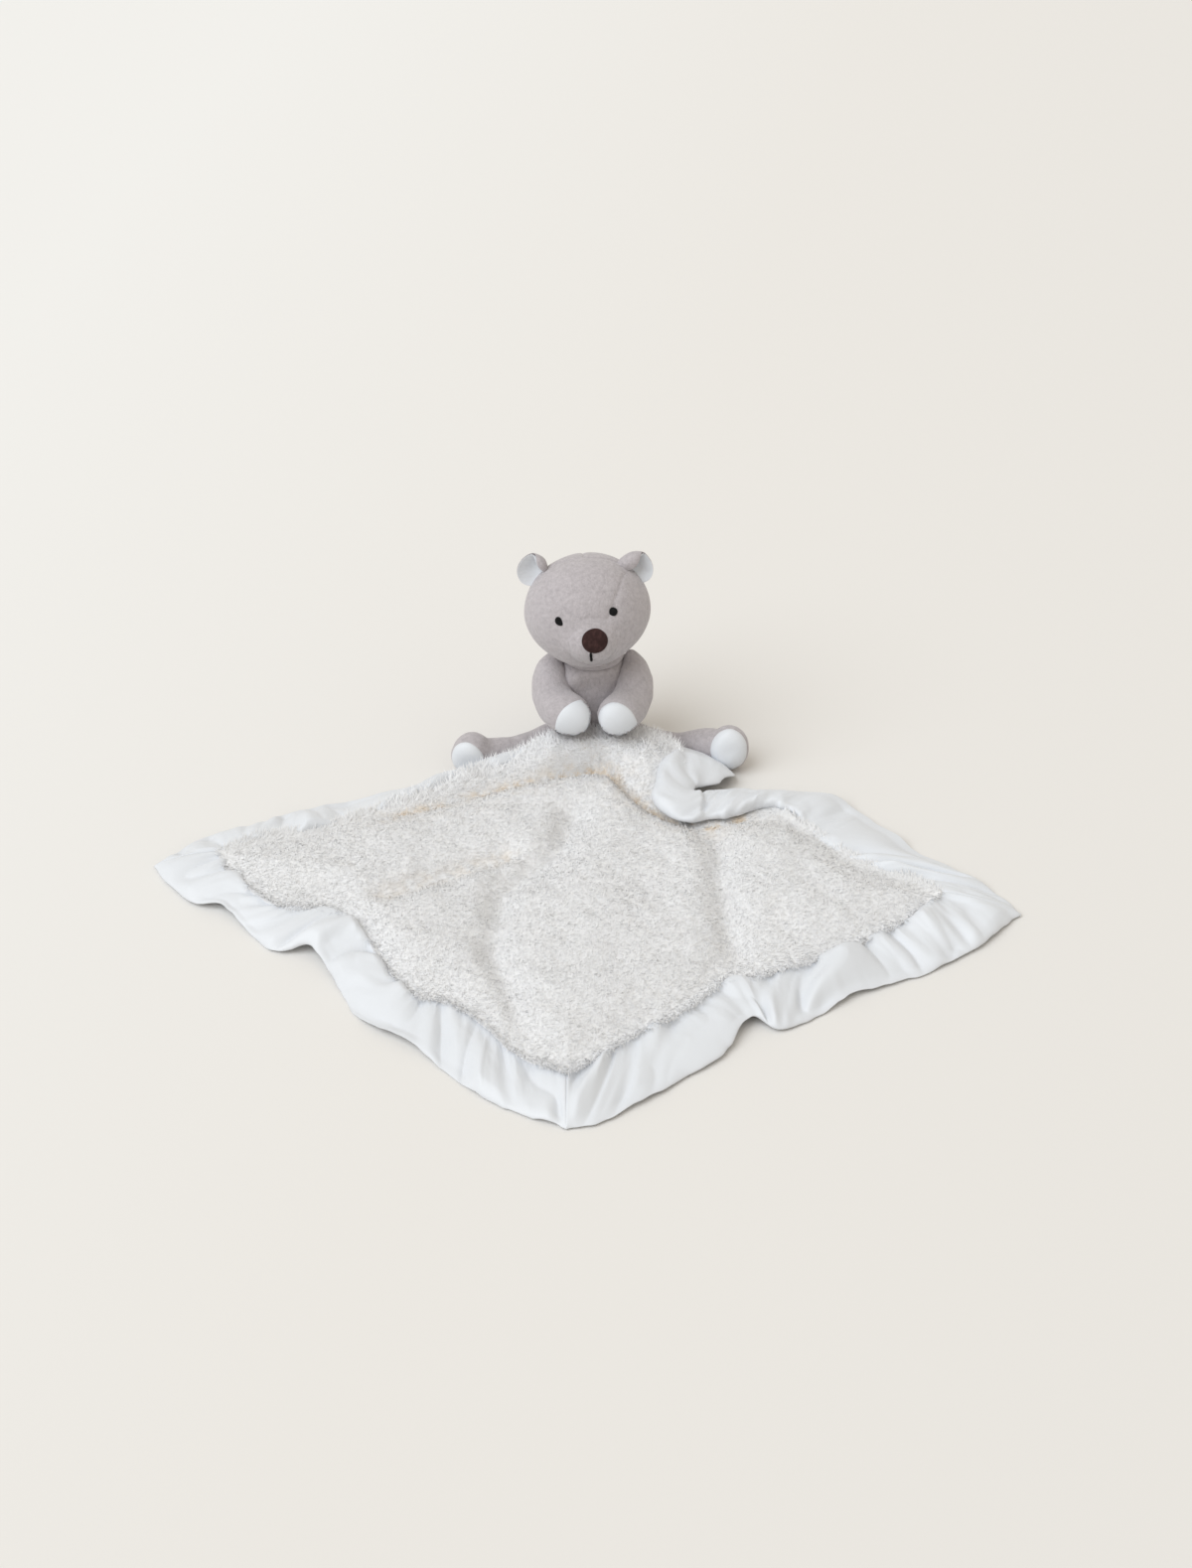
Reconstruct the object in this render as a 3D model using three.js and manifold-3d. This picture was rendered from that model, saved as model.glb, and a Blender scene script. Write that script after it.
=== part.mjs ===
// Comfort blanket lovey: a sitting soft toy bear sewn to the back corner of a square fleece blanket
// with a gathered satin border. Millimetres, +Z up, the bear faces -Y. The origin is the middle of
// the bear's flat seat. Left and right are the viewer's, looking at the bear's face.

import * as THREE from 'three';
import { mergeVertices } from 'three/addons/utils/BufferGeometryUtils.js';
import Module from 'manifold-3d';

const wasm = await Module();
wasm.setup();

// Cloth thicknesses and gaps
const clearance = 0.3;
const plushWall = 1.1;
const satinWall = 0.9;
const sweepClearance = 0.7;

// Blanket as it lies: half of its side-to-side spread
const halfSpread = 250;
const backingThickness = 1.2;
const fleeceThickness = 7;
const borderThickness = 4.4;
const mitreGap = 0.5;
const seamGap = 0.8;
const swellHeight = 6;
const valleyWidth = 15;
const creaseLip = 9;

// Body
const torsoHeight = 68;
const torsoHalfWidth = 24;
const torsoHalfDepth = 24;
const seatPress = 0.5;
const neckDepth = 4;
const neckBallRadius = 10;

// Head
const headHalfWidth = 37;
const headHalfDepth = 33;
const headHalfHeight = 33.7;
const headSink = 7.5;
const headForward = 6;
const headAside = 3;
const headTurn = THREE.MathUtils.degToRad(3);
const headLift = THREE.MathUtils.degToRad(10);
const headTilt = THREE.MathUtils.degToRad(5);
const headNods = [-10, 0, 10].map(THREE.MathUtils.degToRad);
const headTurns = [-30, -15, 0, 15, 30].map(THREE.MathUtils.degToRad);

// Face
const muzzleRadius = 15.5;
const noseRadius = 7.2;
const noseThickness = 3;
const eyeRadius = 2.7;
const eyeThickness = 1.2;
const mouthLength = 7;
const mouthWidth = 0.9;
const threadHeight = 0.7;

// Ears
const earHalfWidth = 10.5;
const earHeight = 20;
const earThickness = 7;
const earRim = 1.6;
const earFold = THREE.MathUtils.degToRad(30);

// Arms: radius where each is thickest, and how far each opens
const armRadius = 12.6;
const armReach = 48;
const pawPadRadius = 12.5;
const armOpening = THREE.MathUtils.degToRad(50);

// Legs and feet
const legRadius = 10;
const legReach = 85;
const footHalfWidth = 11;
const footHalfDepth = 10.5;
const leftFootHalfHeight = 12.6;
const rightFootHalfHeight = 14;
const solePadRadius = 11;
const legLifting = THREE.MathUtils.degToRad(25);

// The height of the blanket's roll at the tummy, which follows the body's height
const foldHeightShare = 0.3676;
const foldHeight = foldHeightShare * torsoHeight;

// The stitch that tacks the blanket's back corner to the tummy
const tackRadius = 2.2;

// Points round the blanket, as shares of half the spread and of the fold height. Each row is one
// place along a side: the outer hem, then the seam between the satin border and the fleece.
const backLeftShares = [
  [0, -0.112, 0.6, 0, -0.148, 1],
  [-0.08, -0.124, 0.36, -0.088, -0.156, 0.98],
  [-0.164, -0.14, 0.18, -0.164, -0.176, 0.68],
  [-0.24, -0.184, 0.14, -0.24, -0.216, 0.5],
  [-0.296, -0.2, 0.14, -0.296, -0.264, 0.38],
  [-0.352, -0.192, 0.14, -0.36, -0.312, 0.32],
  [-0.428, -0.22, 0.16, -0.428, -0.344, 0.28],
  [-0.496, -0.252, 0.2, -0.484, -0.368, 0.28],
  [-0.58, -0.28, 0.12, -0.54, -0.388, 0.28],
  [-0.668, -0.332, 0.24, -0.644, -0.448, 0.3],
  [-0.78, -0.38, 0.12, -0.74, -0.468, 0.28],
  [-0.892, -0.44, 0.2, -0.788, -0.496, 0.28],
  [-0.992, -0.544, 0.12, -0.836, -0.528, 0.26],
];
const frontLeftShares = [
  [-0.992, -0.544, 0.12, -0.836, -0.528, 0.26],
  [-0.9, -0.684, 0.12, -0.816, -0.588, 0.28],
  [-0.82, -0.72, 0.28, -0.756, -0.664, 0.28],
  [-0.74, -0.816, 0.12, -0.684, -0.732, 0.28],
  [-0.684, -0.876, 0.12, -0.62, -0.744, 0.28],
  [-0.608, -0.88, 0.36, -0.556, -0.76, 0.32],
  [-0.54, -1.012, 0.12, -0.484, -0.86, 0.28],
  [-0.492, -1.108, 0.12, -0.42, -0.992, 0.24],
  [-0.388, -1.196, 0.24, -0.368, -1.06, 0.28],
  [-0.312, -1.276, 0.12, -0.308, -1.084, 0.28],
  [-0.236, -1.356, 0.12, -0.236, -1.144, 0.24],
  [-0.148, -1.424, 0.12, -0.16, -1.252, 0.24],
  [-0.052, -1.472, 0.12, -0.052, -1.32, 0.24],
];
const frontRightShares = [
  [-0.052, -1.472, 0.12, -0.052, -1.32, 0.24],
  [0.02, -1.452, 0.12, 0.008, -1.272, 0.24],
  [0.1, -1.392, 0.16, 0.052, -1.224, 0.28],
  [0.176, -1.328, 0.12, 0.092, -1.188, 0.28],
  [0.276, -1.228, 0.16, 0.196, -1.104, 0.28],
  [0.332, -1.124, 0.32, 0.272, -1.016, 0.32],
  [0.396, -1.152, 0.16, 0.34, -1, 0.28],
  [0.488, -1.092, 0.12, 0.416, -0.96, 0.24],
  [0.564, -1.024, 0.2, 0.512, -0.916, 0.28],
  [0.704, -0.96, 0.12, 0.624, -0.836, 0.28],
  [0.848, -0.848, 0.16, 0.712, -0.76, 0.28],
  [0.948, -0.732, 0.12, 0.768, -0.684, 0.26],
];
// The back right side is folded over on itself, so its rows turn round a notch in the hem
const backRightShares = [
  [0.948, -0.732, 0.12, 0.768, -0.684, 0.26],
  [0.92, -0.676, 0.12, 0.736, -0.64, 0.28],
  [0.84, -0.632, 0.2, 0.688, -0.568, 0.28],
  [0.748, -0.54, 0.12, 0.632, -0.48, 0.28],
  [0.704, -0.448, 0.24, 0.6, -0.408, 0.28],
  [0.632, -0.36, 0.16, 0.572, -0.36, 0.32],
  [0.536, -0.296, 0.36, 0.536, -0.344, 0.4],
  [0.448, -0.284, 0.46, 0.448, -0.376, 0.46],
  [0.352, -0.28, 0.5, 0.368, -0.408, 0.48],
  [0.276, -0.292, 0.54, 0.272, -0.436, 0.5],
  [0.256, -0.284, 0.56, 0.2, -0.42, 0.54],
  [0.252, -0.268, 0.56, 0.152, -0.372, 0.6],
  [0.268, -0.252, 0.54, 0.148, -0.3, 0.7],
  [0.32, -0.228, 0.42, 0.168, -0.236, 0.78],
  [0.272, -0.188, 0.24, 0.188, -0.192, 0.82],
  [0.168, -0.14, 0.2, 0.144, -0.164, 0.96],
  [0.08, -0.124, 0.36, 0.08, -0.152, 0.98],
  [0, -0.112, 0.6, 0, -0.148, 1],
];
// The fleece's own edge where that fold covers it
const coveredEdgeShares = [
  [0.536, -0.348],
  [0.448, -0.324],
  [0.352, -0.312],
  [0.28, -0.304],
  [0.232, -0.256],
  [0.2, -0.216],
  [0.16, -0.18],
  [0.08, -0.156],
  [0, -0.152],
];
const coveredRowCount = 6;

// The roll of cloth against the bear, from left to right: across, crest place and height, crease
// place and height
const rollShares = [
  [-0.44, -0.32, 0.34, -0.38, 0.34],
  [-0.336, -0.28, 0.44, -0.368, 0.32],
  [-0.248, -0.232, 0.6, -0.336, 0.26],
  [-0.164, -0.192, 0.74, -0.28, 0.26],
  [-0.088, -0.168, 1, -0.228, 0.28],
  [0, -0.164, 1.02, -0.208, 0.34],
  [0.048, -0.164, 1.02, -0.224, 0.3],
  [0.1, -0.176, 0.96, -0.28, 0.26],
  [0.144, -0.2, 0.7, -0.344, 0.26],
  [0.192, -0.232, 0.42, -0.376, 0.32],
  [0.256, -0.28, 0.34, -0.392, 0.34],
];
// Soft valleys between the swells of the panel: both ends of each
const valleyShares = [
  [-0.172, -0.5, -0.184, -1.03],
  [-0.264, -0.448, -0.456, -0.712],
  [0.256, -0.5, 0.264, -0.98],
];
const fleeceColumns = 21;
const fleeceRows = 14;
const columnCrowding = 1.25;
const rowCrowding = 1.7;
const cornerShare = 0.012;
const edgeFadeShare = 0.16;

// The border's plumpness from its seam to its hem
const plumpShares = [0.5, 1, 1, 0.5];

// Body outline: radius and height, from the middle of the seat to the top
const torsoShares = [
  [0, 0],
  [0.5, 0],
  [0.82, 0.05],
  [0.97, 0.2],
  [1, 0.34],
  [0.96, 0.52],
  [0.89, 0.7],
  [0.81, 0.86],
  [0.62, 0.97],
  [0, 1],
];
const chinTaperShare = 0.16;

// Face places in the head's own frame, as shares of its half width, depth and height
const muzzleShare = [0.03, -0.66, -0.27];
const noseShare = [0.045, -1.12, -0.15];
const mouthShare = [0.02, -1.04, -0.43];
const leftEyeShare = [-0.475, -0.86, 0.15];
const rightEyeShare = [0.395, -0.894, 0.225];
const leftEarShare = [-0.66, 0.08, 0.62];
const rightEarShare = [0.7, 0, 0.56];
const muzzleFlatShare = 0.86;
const earCupShare = 0.62;

// Arm route in shares of its reach, from the shoulder to the paw: across, back to front, and up
// from the shoulder; and its girth in shares of its radius
const armRouteShares = [
  [-0.39, 0.02, 0.175],
  [-0.49, -0.13, 0.02],
  [-0.49, -0.36, -0.18],
  [-0.41, -0.58, -0.23],
  [-0.29, -0.78, -0.19],
  [-0.24, -0.98, -0.14],
];
const armGirthShares = [0.84, 0.96, 1, 0.98, 0.98, 1];
const shoulderShare = 0.74;
const armAxisShare = [-0.6, 0, -0.8];
const armPivotShare = [-0.48, -0.04, 0];

// Leg routes in shares of their reach, from the hip to the ankle, and their girth
const leftLegRouteShares = [
  [-0.12, -0.02, 0.14],
  [-0.34, -0.13, 0.1],
  [-0.55, -0.24, 0.08],
  [-0.72, -0.34, 0.09],
  [-0.86, -0.4, 0.13],
];
const leftLegGirthShares = [1, 0.86, 0.62, 0.74, 0.9];
const rightLegRouteShares = [
  [0.12, -0.02, 0.14],
  [0.35, -0.1, 0.1],
  [0.58, -0.18, 0.09],
  [0.76, -0.25, 0.115],
  [0.94, -0.33, 0.16],
];
const rightLegGirthShares = [1, 0.74, 0.64, 0.84, 0.95];
const leftFootShare = [-0.86, -0.385, 0];
const rightFootShare = [0.965, -0.345, 0];
const leftSoleShare = [-0.4, -0.88, 0.1];
const rightSoleShare = [-0.15, -0.86, 0.42];
const legPivotShare = [0.2, -0.05, 0.13];

// Colours, roughness
const plushFinish = { color: 0xb0aaab, roughness: 0.95, metalness: 0 };
const fleeceFinish = { color: 0xdcdad6, roughness: 1, metalness: 0 };
const satinFinish = { color: 0xe4e6e8, roughness: 0.45, metalness: 0 };
const noseFinish = { color: 0x382624, roughness: 0.9, metalness: 0 };
const threadFinish = { color: 0x201e1f, roughness: 0.6, metalness: 0 };
const stuffingFinish = { color: 0xf2f1ee, roughness: 1, metalness: 0 };

// Facet counts
const bodySegments = 16;
const bodyRings = 12;
const dishRings = 5;
const headSegments = 20;
const headRings = 13;
const limbSides = 10;
const limbRings = 9;
const smallSegments = 12;
const coarseSegments = 12;
const halvings = 20;

// Places that follow from those sizes: the neck, the head's own frame, and a level above the neck
const xAxis = new THREE.Vector3(1, 0, 0);
const zAxis = new THREE.Vector3(0, 0, 1);
const neckPivot = [0, 0, torsoHeight - neckDepth];
const headMatrix = new THREE.Matrix4()
  .makeTranslation(-headAside, -headForward, torsoHeight + headHalfHeight - headSink)
  .multiply(new THREE.Matrix4().makeRotationFromEuler(
    new THREE.Euler(-headLift, -headTilt, headTurn, 'ZXY')));
const dishTop = torsoHeight + headHalfHeight;
const leftLeg = {
  side: -1,
  route: leftLegRouteShares,
  girth: leftLegGirthShares,
  foot: leftFootShare,
  sole: leftSoleShare,
  halfHeight: leftFootHalfHeight,
};
const rightLeg = {
  side: 1,
  route: rightLegRouteShares,
  girth: rightLegGirthShares,
  foot: rightFootShare,
  sole: rightSoleShare,
  halfHeight: rightFootHalfHeight,
};

// Solids

function toSolid(geometry) {
  const bare = geometry.index ? geometry.toNonIndexed() : geometry.clone();
  bare.deleteAttribute('normal');
  bare.deleteAttribute('uv');
  const merged = mergeVertices(bare);
  return new wasm.Manifold(new wasm.Mesh({
    numProp: 3,
    vertProperties: new Float32Array(merged.attributes.position.array),
    triVerts: new Uint32Array(merged.index.array),
  }));
}

function toGeometry(solid) {
  const mesh = solid.getMesh();
  const geometry = new THREE.BufferGeometry();
  geometry.setAttribute('position', new THREE.BufferAttribute(new Float32Array(mesh.vertProperties), 3));
  geometry.setIndex(new THREE.BufferAttribute(new Uint32Array(mesh.triVerts), 1));
  geometry.computeVertexNormals();
  return geometry;
}

function solidFromRings(positions, triangles) {
  const geometry = new THREE.BufferGeometry();
  geometry.setAttribute('position', new THREE.Float32BufferAttribute(positions, 3));
  geometry.setIndex(triangles);
  return toSolid(geometry);
}

function moved(solid, matrix) {
  return solid.transform(matrix.elements);
}

function joined(solids) {
  return solids.reduce((all, solid) => all.add(solid));
}

function ellipsoid(centre, halfSizes, segments) {
  const geometry = new THREE.SphereGeometry(1, segments, Math.round(segments / 2) + 1);
  geometry.rotateX(Math.PI / 2);
  geometry.scale(...halfSizes);
  geometry.translate(...centre);
  return toSolid(geometry);
}

function scaled(shares, ...sizes) {
  return shares.map((share, k) => share * sizes[k % sizes.length]);
}

function turnAbout(pivot, axis, angle) {
  const [x, y, z] = pivot;
  return new THREE.Matrix4()
    .makeTranslation(x, y, z)
    .multiply(new THREE.Matrix4().makeRotationAxis(axis, angle))
    .multiply(new THREE.Matrix4().makeTranslation(-x, -y, -z));
}

// A round limb along a smooth route, swelling with its girth and rounded at both ends. The growth
// moves its whole skin outwards, or inwards where it is negative.
function limb(route, girth, growth) {
  const curve = new THREE.CatmullRomCurve3(route);
  const length = curve.getLength();
  const positions = [];
  const triangles = [];
  const side = new THREE.Vector3(0, 0, 1);
  for (let ring = 0; ring <= limbRings; ring += 1) {
    const along = (1 - Math.cos(Math.PI * ring / limbRings)) / 2;
    const distance = along * (length + 2 * growth) - growth;
    const place = THREE.MathUtils.clamp(distance / length, 0, 1);
    const tangent = curve.getTangentAt(place);
    const centre = curve.getPointAt(place).addScaledVector(tangent, distance - place * length);
    const full = smoothShare(girth, place) + growth;
    const fromEnd = Math.min(distance + growth, length + growth - distance);
    const inward = Math.max(0, 1 - fromEnd / full);
    const radius = full * Math.sqrt(Math.max(0, 1 - inward * inward));
    const first = new THREE.Vector3().crossVectors(tangent, side).normalize();
    const second = new THREE.Vector3().crossVectors(tangent, first).normalize();
    if (ring === 0 || ring === limbRings) {
      positions.push(...centre.toArray());
      continue;
    }
    for (let k = 0; k < limbSides; k += 1) {
      const angle = 2 * Math.PI * k / limbSides;
      const point = centre.clone()
        .addScaledVector(first, radius * Math.cos(angle))
        .addScaledVector(second, radius * Math.sin(angle));
      positions.push(...point.toArray());
    }
  }
  const last = positions.length / 3 - 1;
  for (let k = 0; k < limbSides; k += 1) {
    const next = (k + 1) % limbSides;
    triangles.push(0, 1 + next, 1 + k);
    for (let ring = 0; ring < limbRings - 2; ring += 1) {
      const low = 1 + ring * limbSides;
      const high = low + limbSides;
      triangles.push(low + k, high + next, high + k);
      triangles.push(low + k, low + next, high + next);
    }
    const end = last - limbSides;
    triangles.push(last, end + k, end + next);
  }
  return solidFromRings(positions, triangles);
}

// A value between evenly spaced shares, eased from one to the next
function smoothShare(values, place) {
  const scaledPlace = place * (values.length - 1);
  const index = Math.min(Math.floor(scaledPlace), values.length - 2);
  const ease = THREE.MathUtils.smoothstep(scaledPlace - index, 0, 1);
  return THREE.MathUtils.lerp(values[index], values[index + 1], ease);
}

// A value in a table sorted by its first column, straight from one row to the next
function tableValue(table, column, x) {
  const rising = table[table.length - 1][0] > table[0][0];
  const rows = rising ? table : [...table].reverse();
  const place = THREE.MathUtils.clamp(x, rows[0][0], rows[rows.length - 1][0]);
  const index = Math.max(1, rows.findIndex((row) => row[0] >= place));
  const [low, high] = [rows[index - 1], rows[index]];
  const share = (place - low[0]) / (high[0] - low[0]);
  return THREE.MathUtils.lerp(low[column], high[column], share);
}

// Body

function torsoForm(growth, segments) {
  const points = torsoShares.map(([radius, height]) => new THREE.Vector2(
    radius * torsoHalfWidth, height * (torsoHeight + seatPress) - seatPress));
  const curve = new THREE.SplineCurve(points);
  const dense = curve.getPoints(bodyRings);
  const profile = dense.map((point, k) => {
    const before = dense[Math.max(k - 1, 0)];
    const after = dense[Math.min(k + 1, dense.length - 1)];
    const along = after.clone().sub(before).normalize();
    const onAxis = k === 0 || k === dense.length - 1;
    const radius = onAxis ? 0 : Math.max(point.x, 0) + along.y * growth;
    const height = point.y - (onAxis ? Math.sign(point.y - dense[1].y) * -growth : along.x * growth);
    return new THREE.Vector2(Math.max(radius, 0), height);
  });
  profile[0].y = profile[1].y;
  const geometry = new THREE.LatheGeometry(profile, segments);
  geometry.rotateX(Math.PI / 2);
  geometry.scale(1, torsoHalfDepth / torsoHalfWidth, 1);
  return toSolid(geometry).trimByPlane([0, 0, 1], -growth);
}

// True where a point in the head's own frame lies inside the grown head
function headHolds(point, growth) {
  const height = point.z / (headHalfHeight + growth);
  const width = point.x / (headHalfWidth * chinTaper(height) + growth);
  const depth = point.y / (headHalfDepth + growth);
  return width * width + depth * depth + height * height < 1;
}

// Height of the head's underside above one place, in one pose of the head
function undersideHeight(x, y, pose) {
  const inHead = pose.clone().invert();
  let inside = new THREE.Vector3().setFromMatrixPosition(pose).z;
  let outside = 0;
  if (!headHolds(new THREE.Vector3(x, y, inside).applyMatrix4(inHead), sweepClearance)) return dishTop;
  for (let k = 0; k < halvings; k += 1) {
    const middle = (inside + outside) / 2;
    if (headHolds(new THREE.Vector3(x, y, middle).applyMatrix4(inHead), sweepClearance)) inside = middle;
    else outside = middle;
  }
  return outside;
}

// Everything above the underside of the head in all of its poses
function neckDish(drop) {
  const poses = headTurns.flatMap((turn) => headNods.map((nod) => turnAbout(neckPivot, zAxis, turn)
    .multiply(turnAbout(neckPivot, xAxis, nod))
    .multiply(headMatrix)));
  const rim = torsoHalfWidth + headForward;
  const positions = [];
  const triangles = [];
  for (let ring = 0; ring <= dishRings; ring += 1) {
    for (let k = 0; k < bodySegments; k += 1) {
      const angle = 2 * Math.PI * k / bodySegments;
      const x = rim * ring / dishRings * Math.cos(angle);
      const y = rim * ring / dishRings * Math.sin(angle);
      const lowest = Math.min(...poses.map((pose) => undersideHeight(x, y, pose)));
      positions.push(x, y, lowest - drop);
    }
  }
  const above = (dishRings + 1) * bodySegments;
  for (let k = 0; k < bodySegments; k += 1) {
    const angle = 2 * Math.PI * k / bodySegments;
    positions.push(rim * Math.cos(angle), rim * Math.sin(angle), 2 * dishTop);
  }
  positions.push(0, 0, 2 * dishTop);
  for (let k = 0; k < bodySegments; k += 1) {
    const next = (k + 1) % bodySegments;
    triangles.push(0, bodySegments + next, bodySegments + k);
    for (let ring = 1; ring <= dishRings; ring += 1) {
      const [here, there] = [ring * bodySegments, (ring + 1) * bodySegments];
      triangles.push(here + k, here + next, there + next, here + k, there + next, there + k);
    }
    triangles.push(above + bodySegments, above + k, above + next);
  }
  return solidFromRings(positions, triangles);
}

function neckBall(growth) {
  const radius = neckBallRadius + growth;
  return ellipsoid(neckPivot, [radius, radius, radius], smallSegments);
}

function torsoBody(growth, segments) {
  return torsoForm(growth, segments).subtract(neckDish(-growth));
}

function torsoCover() {
  return torsoBody(0, bodySegments)
    .subtract(torsoBody(-plushWall, bodySegments))
    .subtract(neckBall(sweepClearance));
}

function torsoStuffing() {
  return torsoBody(-plushWall - clearance, bodySegments).subtract(neckBall(sweepClearance));
}

// Head

// Share of the head's width that is left at a height below its middle
function chinTaper(height) {
  const below = THREE.MathUtils.clamp(height, -1, 0);
  return 1 - chinTaperShare * below * below;
}

function headPoint(unit, growth) {
  return new THREE.Vector3(
    unit.x * (headHalfWidth * chinTaper(unit.z) + growth),
    unit.y * (headHalfDepth + growth),
    unit.z * (headHalfHeight + growth));
}

function headForm(growth, segments) {
  const geometry = new THREE.SphereGeometry(1, segments, headRings);
  geometry.rotateX(Math.PI / 2);
  const position = geometry.attributes.position;
  for (let k = 0; k < position.count; k += 1) {
    const unit = new THREE.Vector3().fromBufferAttribute(position, k);
    position.setXYZ(k, ...headPoint(unit, growth).toArray());
  }
  return toSolid(geometry);
}

// The neck ball as the head's own frame sees it
function neckBallInHead(growth) {
  return moved(neckBall(growth), headMatrix.clone().invert());
}

function headCover() {
  return headForm(0, headSegments)
    .subtract(headForm(-plushWall, coarseSegments))
    .subtract(neckBallInHead(sweepClearance));
}

function headStuffing() {
  return headForm(-plushWall - clearance, coarseSegments).subtract(neckBallInHead(sweepClearance));
}

function faceSizes(share) {
  return scaled(share, headHalfWidth, headHalfDepth, headHalfHeight);
}

function muzzleForm(growth) {
  const halfSizes = [muzzleRadius, muzzleRadius, muzzleRadius * muzzleFlatShare];
  return ellipsoid(faceSizes(muzzleShare), halfSizes.map((size) => size + growth), 2 * smallSegments);
}

function muzzleCover() {
  return muzzleForm(0).subtract(headForm(clearance, headSegments));
}

function noseForm(growth) {
  const halfSizes = [noseRadius, noseThickness, noseRadius].map((size) => size + growth);
  return ellipsoid(faceSizes(noseShare), halfSizes, smallSegments);
}

function nosePiece() {
  return noseForm(0).subtract(muzzleForm(clearance)).subtract(headForm(clearance, headSegments));
}

function mouthStitch() {
  const stitch = muzzleForm(clearance + threadHeight).subtract(muzzleForm(clearance));
  const halfSizes = [mouthWidth / 2, muzzleRadius, mouthLength / 2];
  const strip = ellipsoid(faceSizes(mouthShare), halfSizes, smallSegments);
  return stitch.intersect(strip).subtract(noseForm(clearance)).subtract(headForm(clearance, headSegments));
}

function eyePiece(share) {
  const shell = headForm(clearance + eyeThickness, headSegments)
    .subtract(headForm(clearance, headSegments));
  const spot = ellipsoid(faceSizes(share), [eyeRadius, 2 * eyeRadius, eyeRadius], smallSegments);
  return shell.intersect(spot);
}

// Ears, in a frame at the middle of each ear's root: up is away from the head

function earRoot(share) {
  const unit = new THREE.Vector3(...share).normalize();
  const root = headPoint(unit, 0);
  const outward = new THREE.Vector3(unit.x, 0, unit.z).normalize();
  const across = new THREE.Vector3(outward.z, 0, -outward.x);
  const back = new THREE.Vector3(0, 1, 0);
  return new THREE.Matrix4().makeBasis(across, back, outward).setPosition(root);
}

function earSpace(root) {
  const local = moved(headForm(sweepClearance, headSegments), root.clone().invert());
  const poses = [-earFold, 0, earFold].map((angle) => moved(local, turnAbout([0, 0, 0], xAxis, angle)));
  return joined(poses);
}

function earDisc(growth) {
  const halfHeight = earHeight / 2;
  const halfSizes = [earHalfWidth + growth, earThickness / 2 + growth, halfHeight + growth];
  return ellipsoid([0, 0, halfHeight * earCupShare], halfSizes, coarseSegments);
}

function earScoop(growth, forward) {
  const halfHeight = earHeight / 2;
  const halfSizes = [earHalfWidth - earRim + growth, earThickness / 2 + growth, halfHeight - earRim + growth];
  return ellipsoid([0, -earThickness / 2 - forward, halfHeight * earCupShare], halfSizes, coarseSegments);
}

function earBack(root) {
  return earDisc(0).subtract(earScoop(0, 0)).subtract(earSpace(root));
}

function earLining(root) {
  return earDisc(0)
    .intersect(earScoop(-clearance, 0))
    .subtract(earScoop(0, satinWall + clearance))
    .subtract(earSpace(root));
}

// Limbs

function armRoute(side) {
  return armRouteShares.map(([x, y, z]) => new THREE.Vector3(
    -side * x * armReach, y * armReach, shoulderShare * torsoHeight + z * armReach));
}

function armForm(side, growth) {
  return limb(armRoute(side), armGirthShares.map((share) => share * armRadius), growth);
}

function armPivot(side) {
  const [x, y, z] = armPivotShare;
  return [-side * x * armReach, y * armReach, shoulderShare * torsoHeight + z * armReach];
}

function armSpace(side) {
  const [x, y, z] = armAxisShare;
  const axis = new THREE.Vector3(x, y, -side * z);
  const body = torsoForm(sweepClearance, bodySegments);
  const steps = [0, 0.25, 0.5, 0.75, 1];
  return joined(steps.map((step) => moved(body, turnAbout(armPivot(side), axis, -step * armOpening))));
}

function armCover(side, space) {
  return armForm(side, 0).subtract(armForm(side, -plushWall)).subtract(space);
}

function armStuffing(side, space) {
  return armForm(side, -plushWall - clearance).subtract(space);
}

// A satin pad laid on the rounded end of a limb, inside a ball round the given place
function endPad(form, centre, radius) {
  const ball = ellipsoid(centre, [radius, radius, radius], coarseSegments);
  return form(clearance + satinWall).subtract(form(clearance)).intersect(ball);
}

function pawPad(side) {
  const route = armRoute(side);
  return endPad((growth) => armForm(side, growth), route[route.length - 1].toArray(), pawPadRadius);
}

function footCentre(leg) {
  const [x, y] = leg.foot;
  return [x * legReach, y * legReach, leg.halfHeight + clearance];
}

function footForm(leg, growth) {
  const halfSizes = [footHalfWidth, footHalfDepth, leg.halfHeight].map((size) => size + growth);
  return ellipsoid(footCentre(leg), halfSizes, coarseSegments);
}

function legForm(leg, growth) {
  const route = leg.route.map((share) => new THREE.Vector3(...scaled(share, legReach)));
  return limb(route, leg.girth.map((share) => share * legRadius), growth).add(footForm(leg, growth));
}

function legPivot(leg) {
  const [x, y, z] = scaled(legPivotShare, legReach);
  return [leg.side * x, y, z];
}

function legAxis(leg) {
  const [x, y] = leg.foot;
  return new THREE.Vector3(y, -x, 0).normalize();
}

function legSpace(leg) {
  const body = torsoForm(sweepClearance, bodySegments);
  const steps = [0, 0.5, 1];
  return joined(steps.map((step) => moved(body, turnAbout(legPivot(leg), legAxis(leg), -step * legLifting))));
}

function legCover(leg, space) {
  return legForm(leg, 0).subtract(legForm(leg, -plushWall)).subtract(space);
}

function legStuffing(leg, space) {
  return legForm(leg, -plushWall - clearance).subtract(space);
}

function footSole(leg) {
  const centre = footCentre(leg);
  const [x, y, z] = leg.sole;
  const place = [centre[0] + x * footHalfWidth, centre[1] + y * footHalfDepth, centre[2] + z * leg.halfHeight];
  return endPad((growth) => footForm(leg, growth), place, solePadRadius);
}

// Blanket

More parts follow.
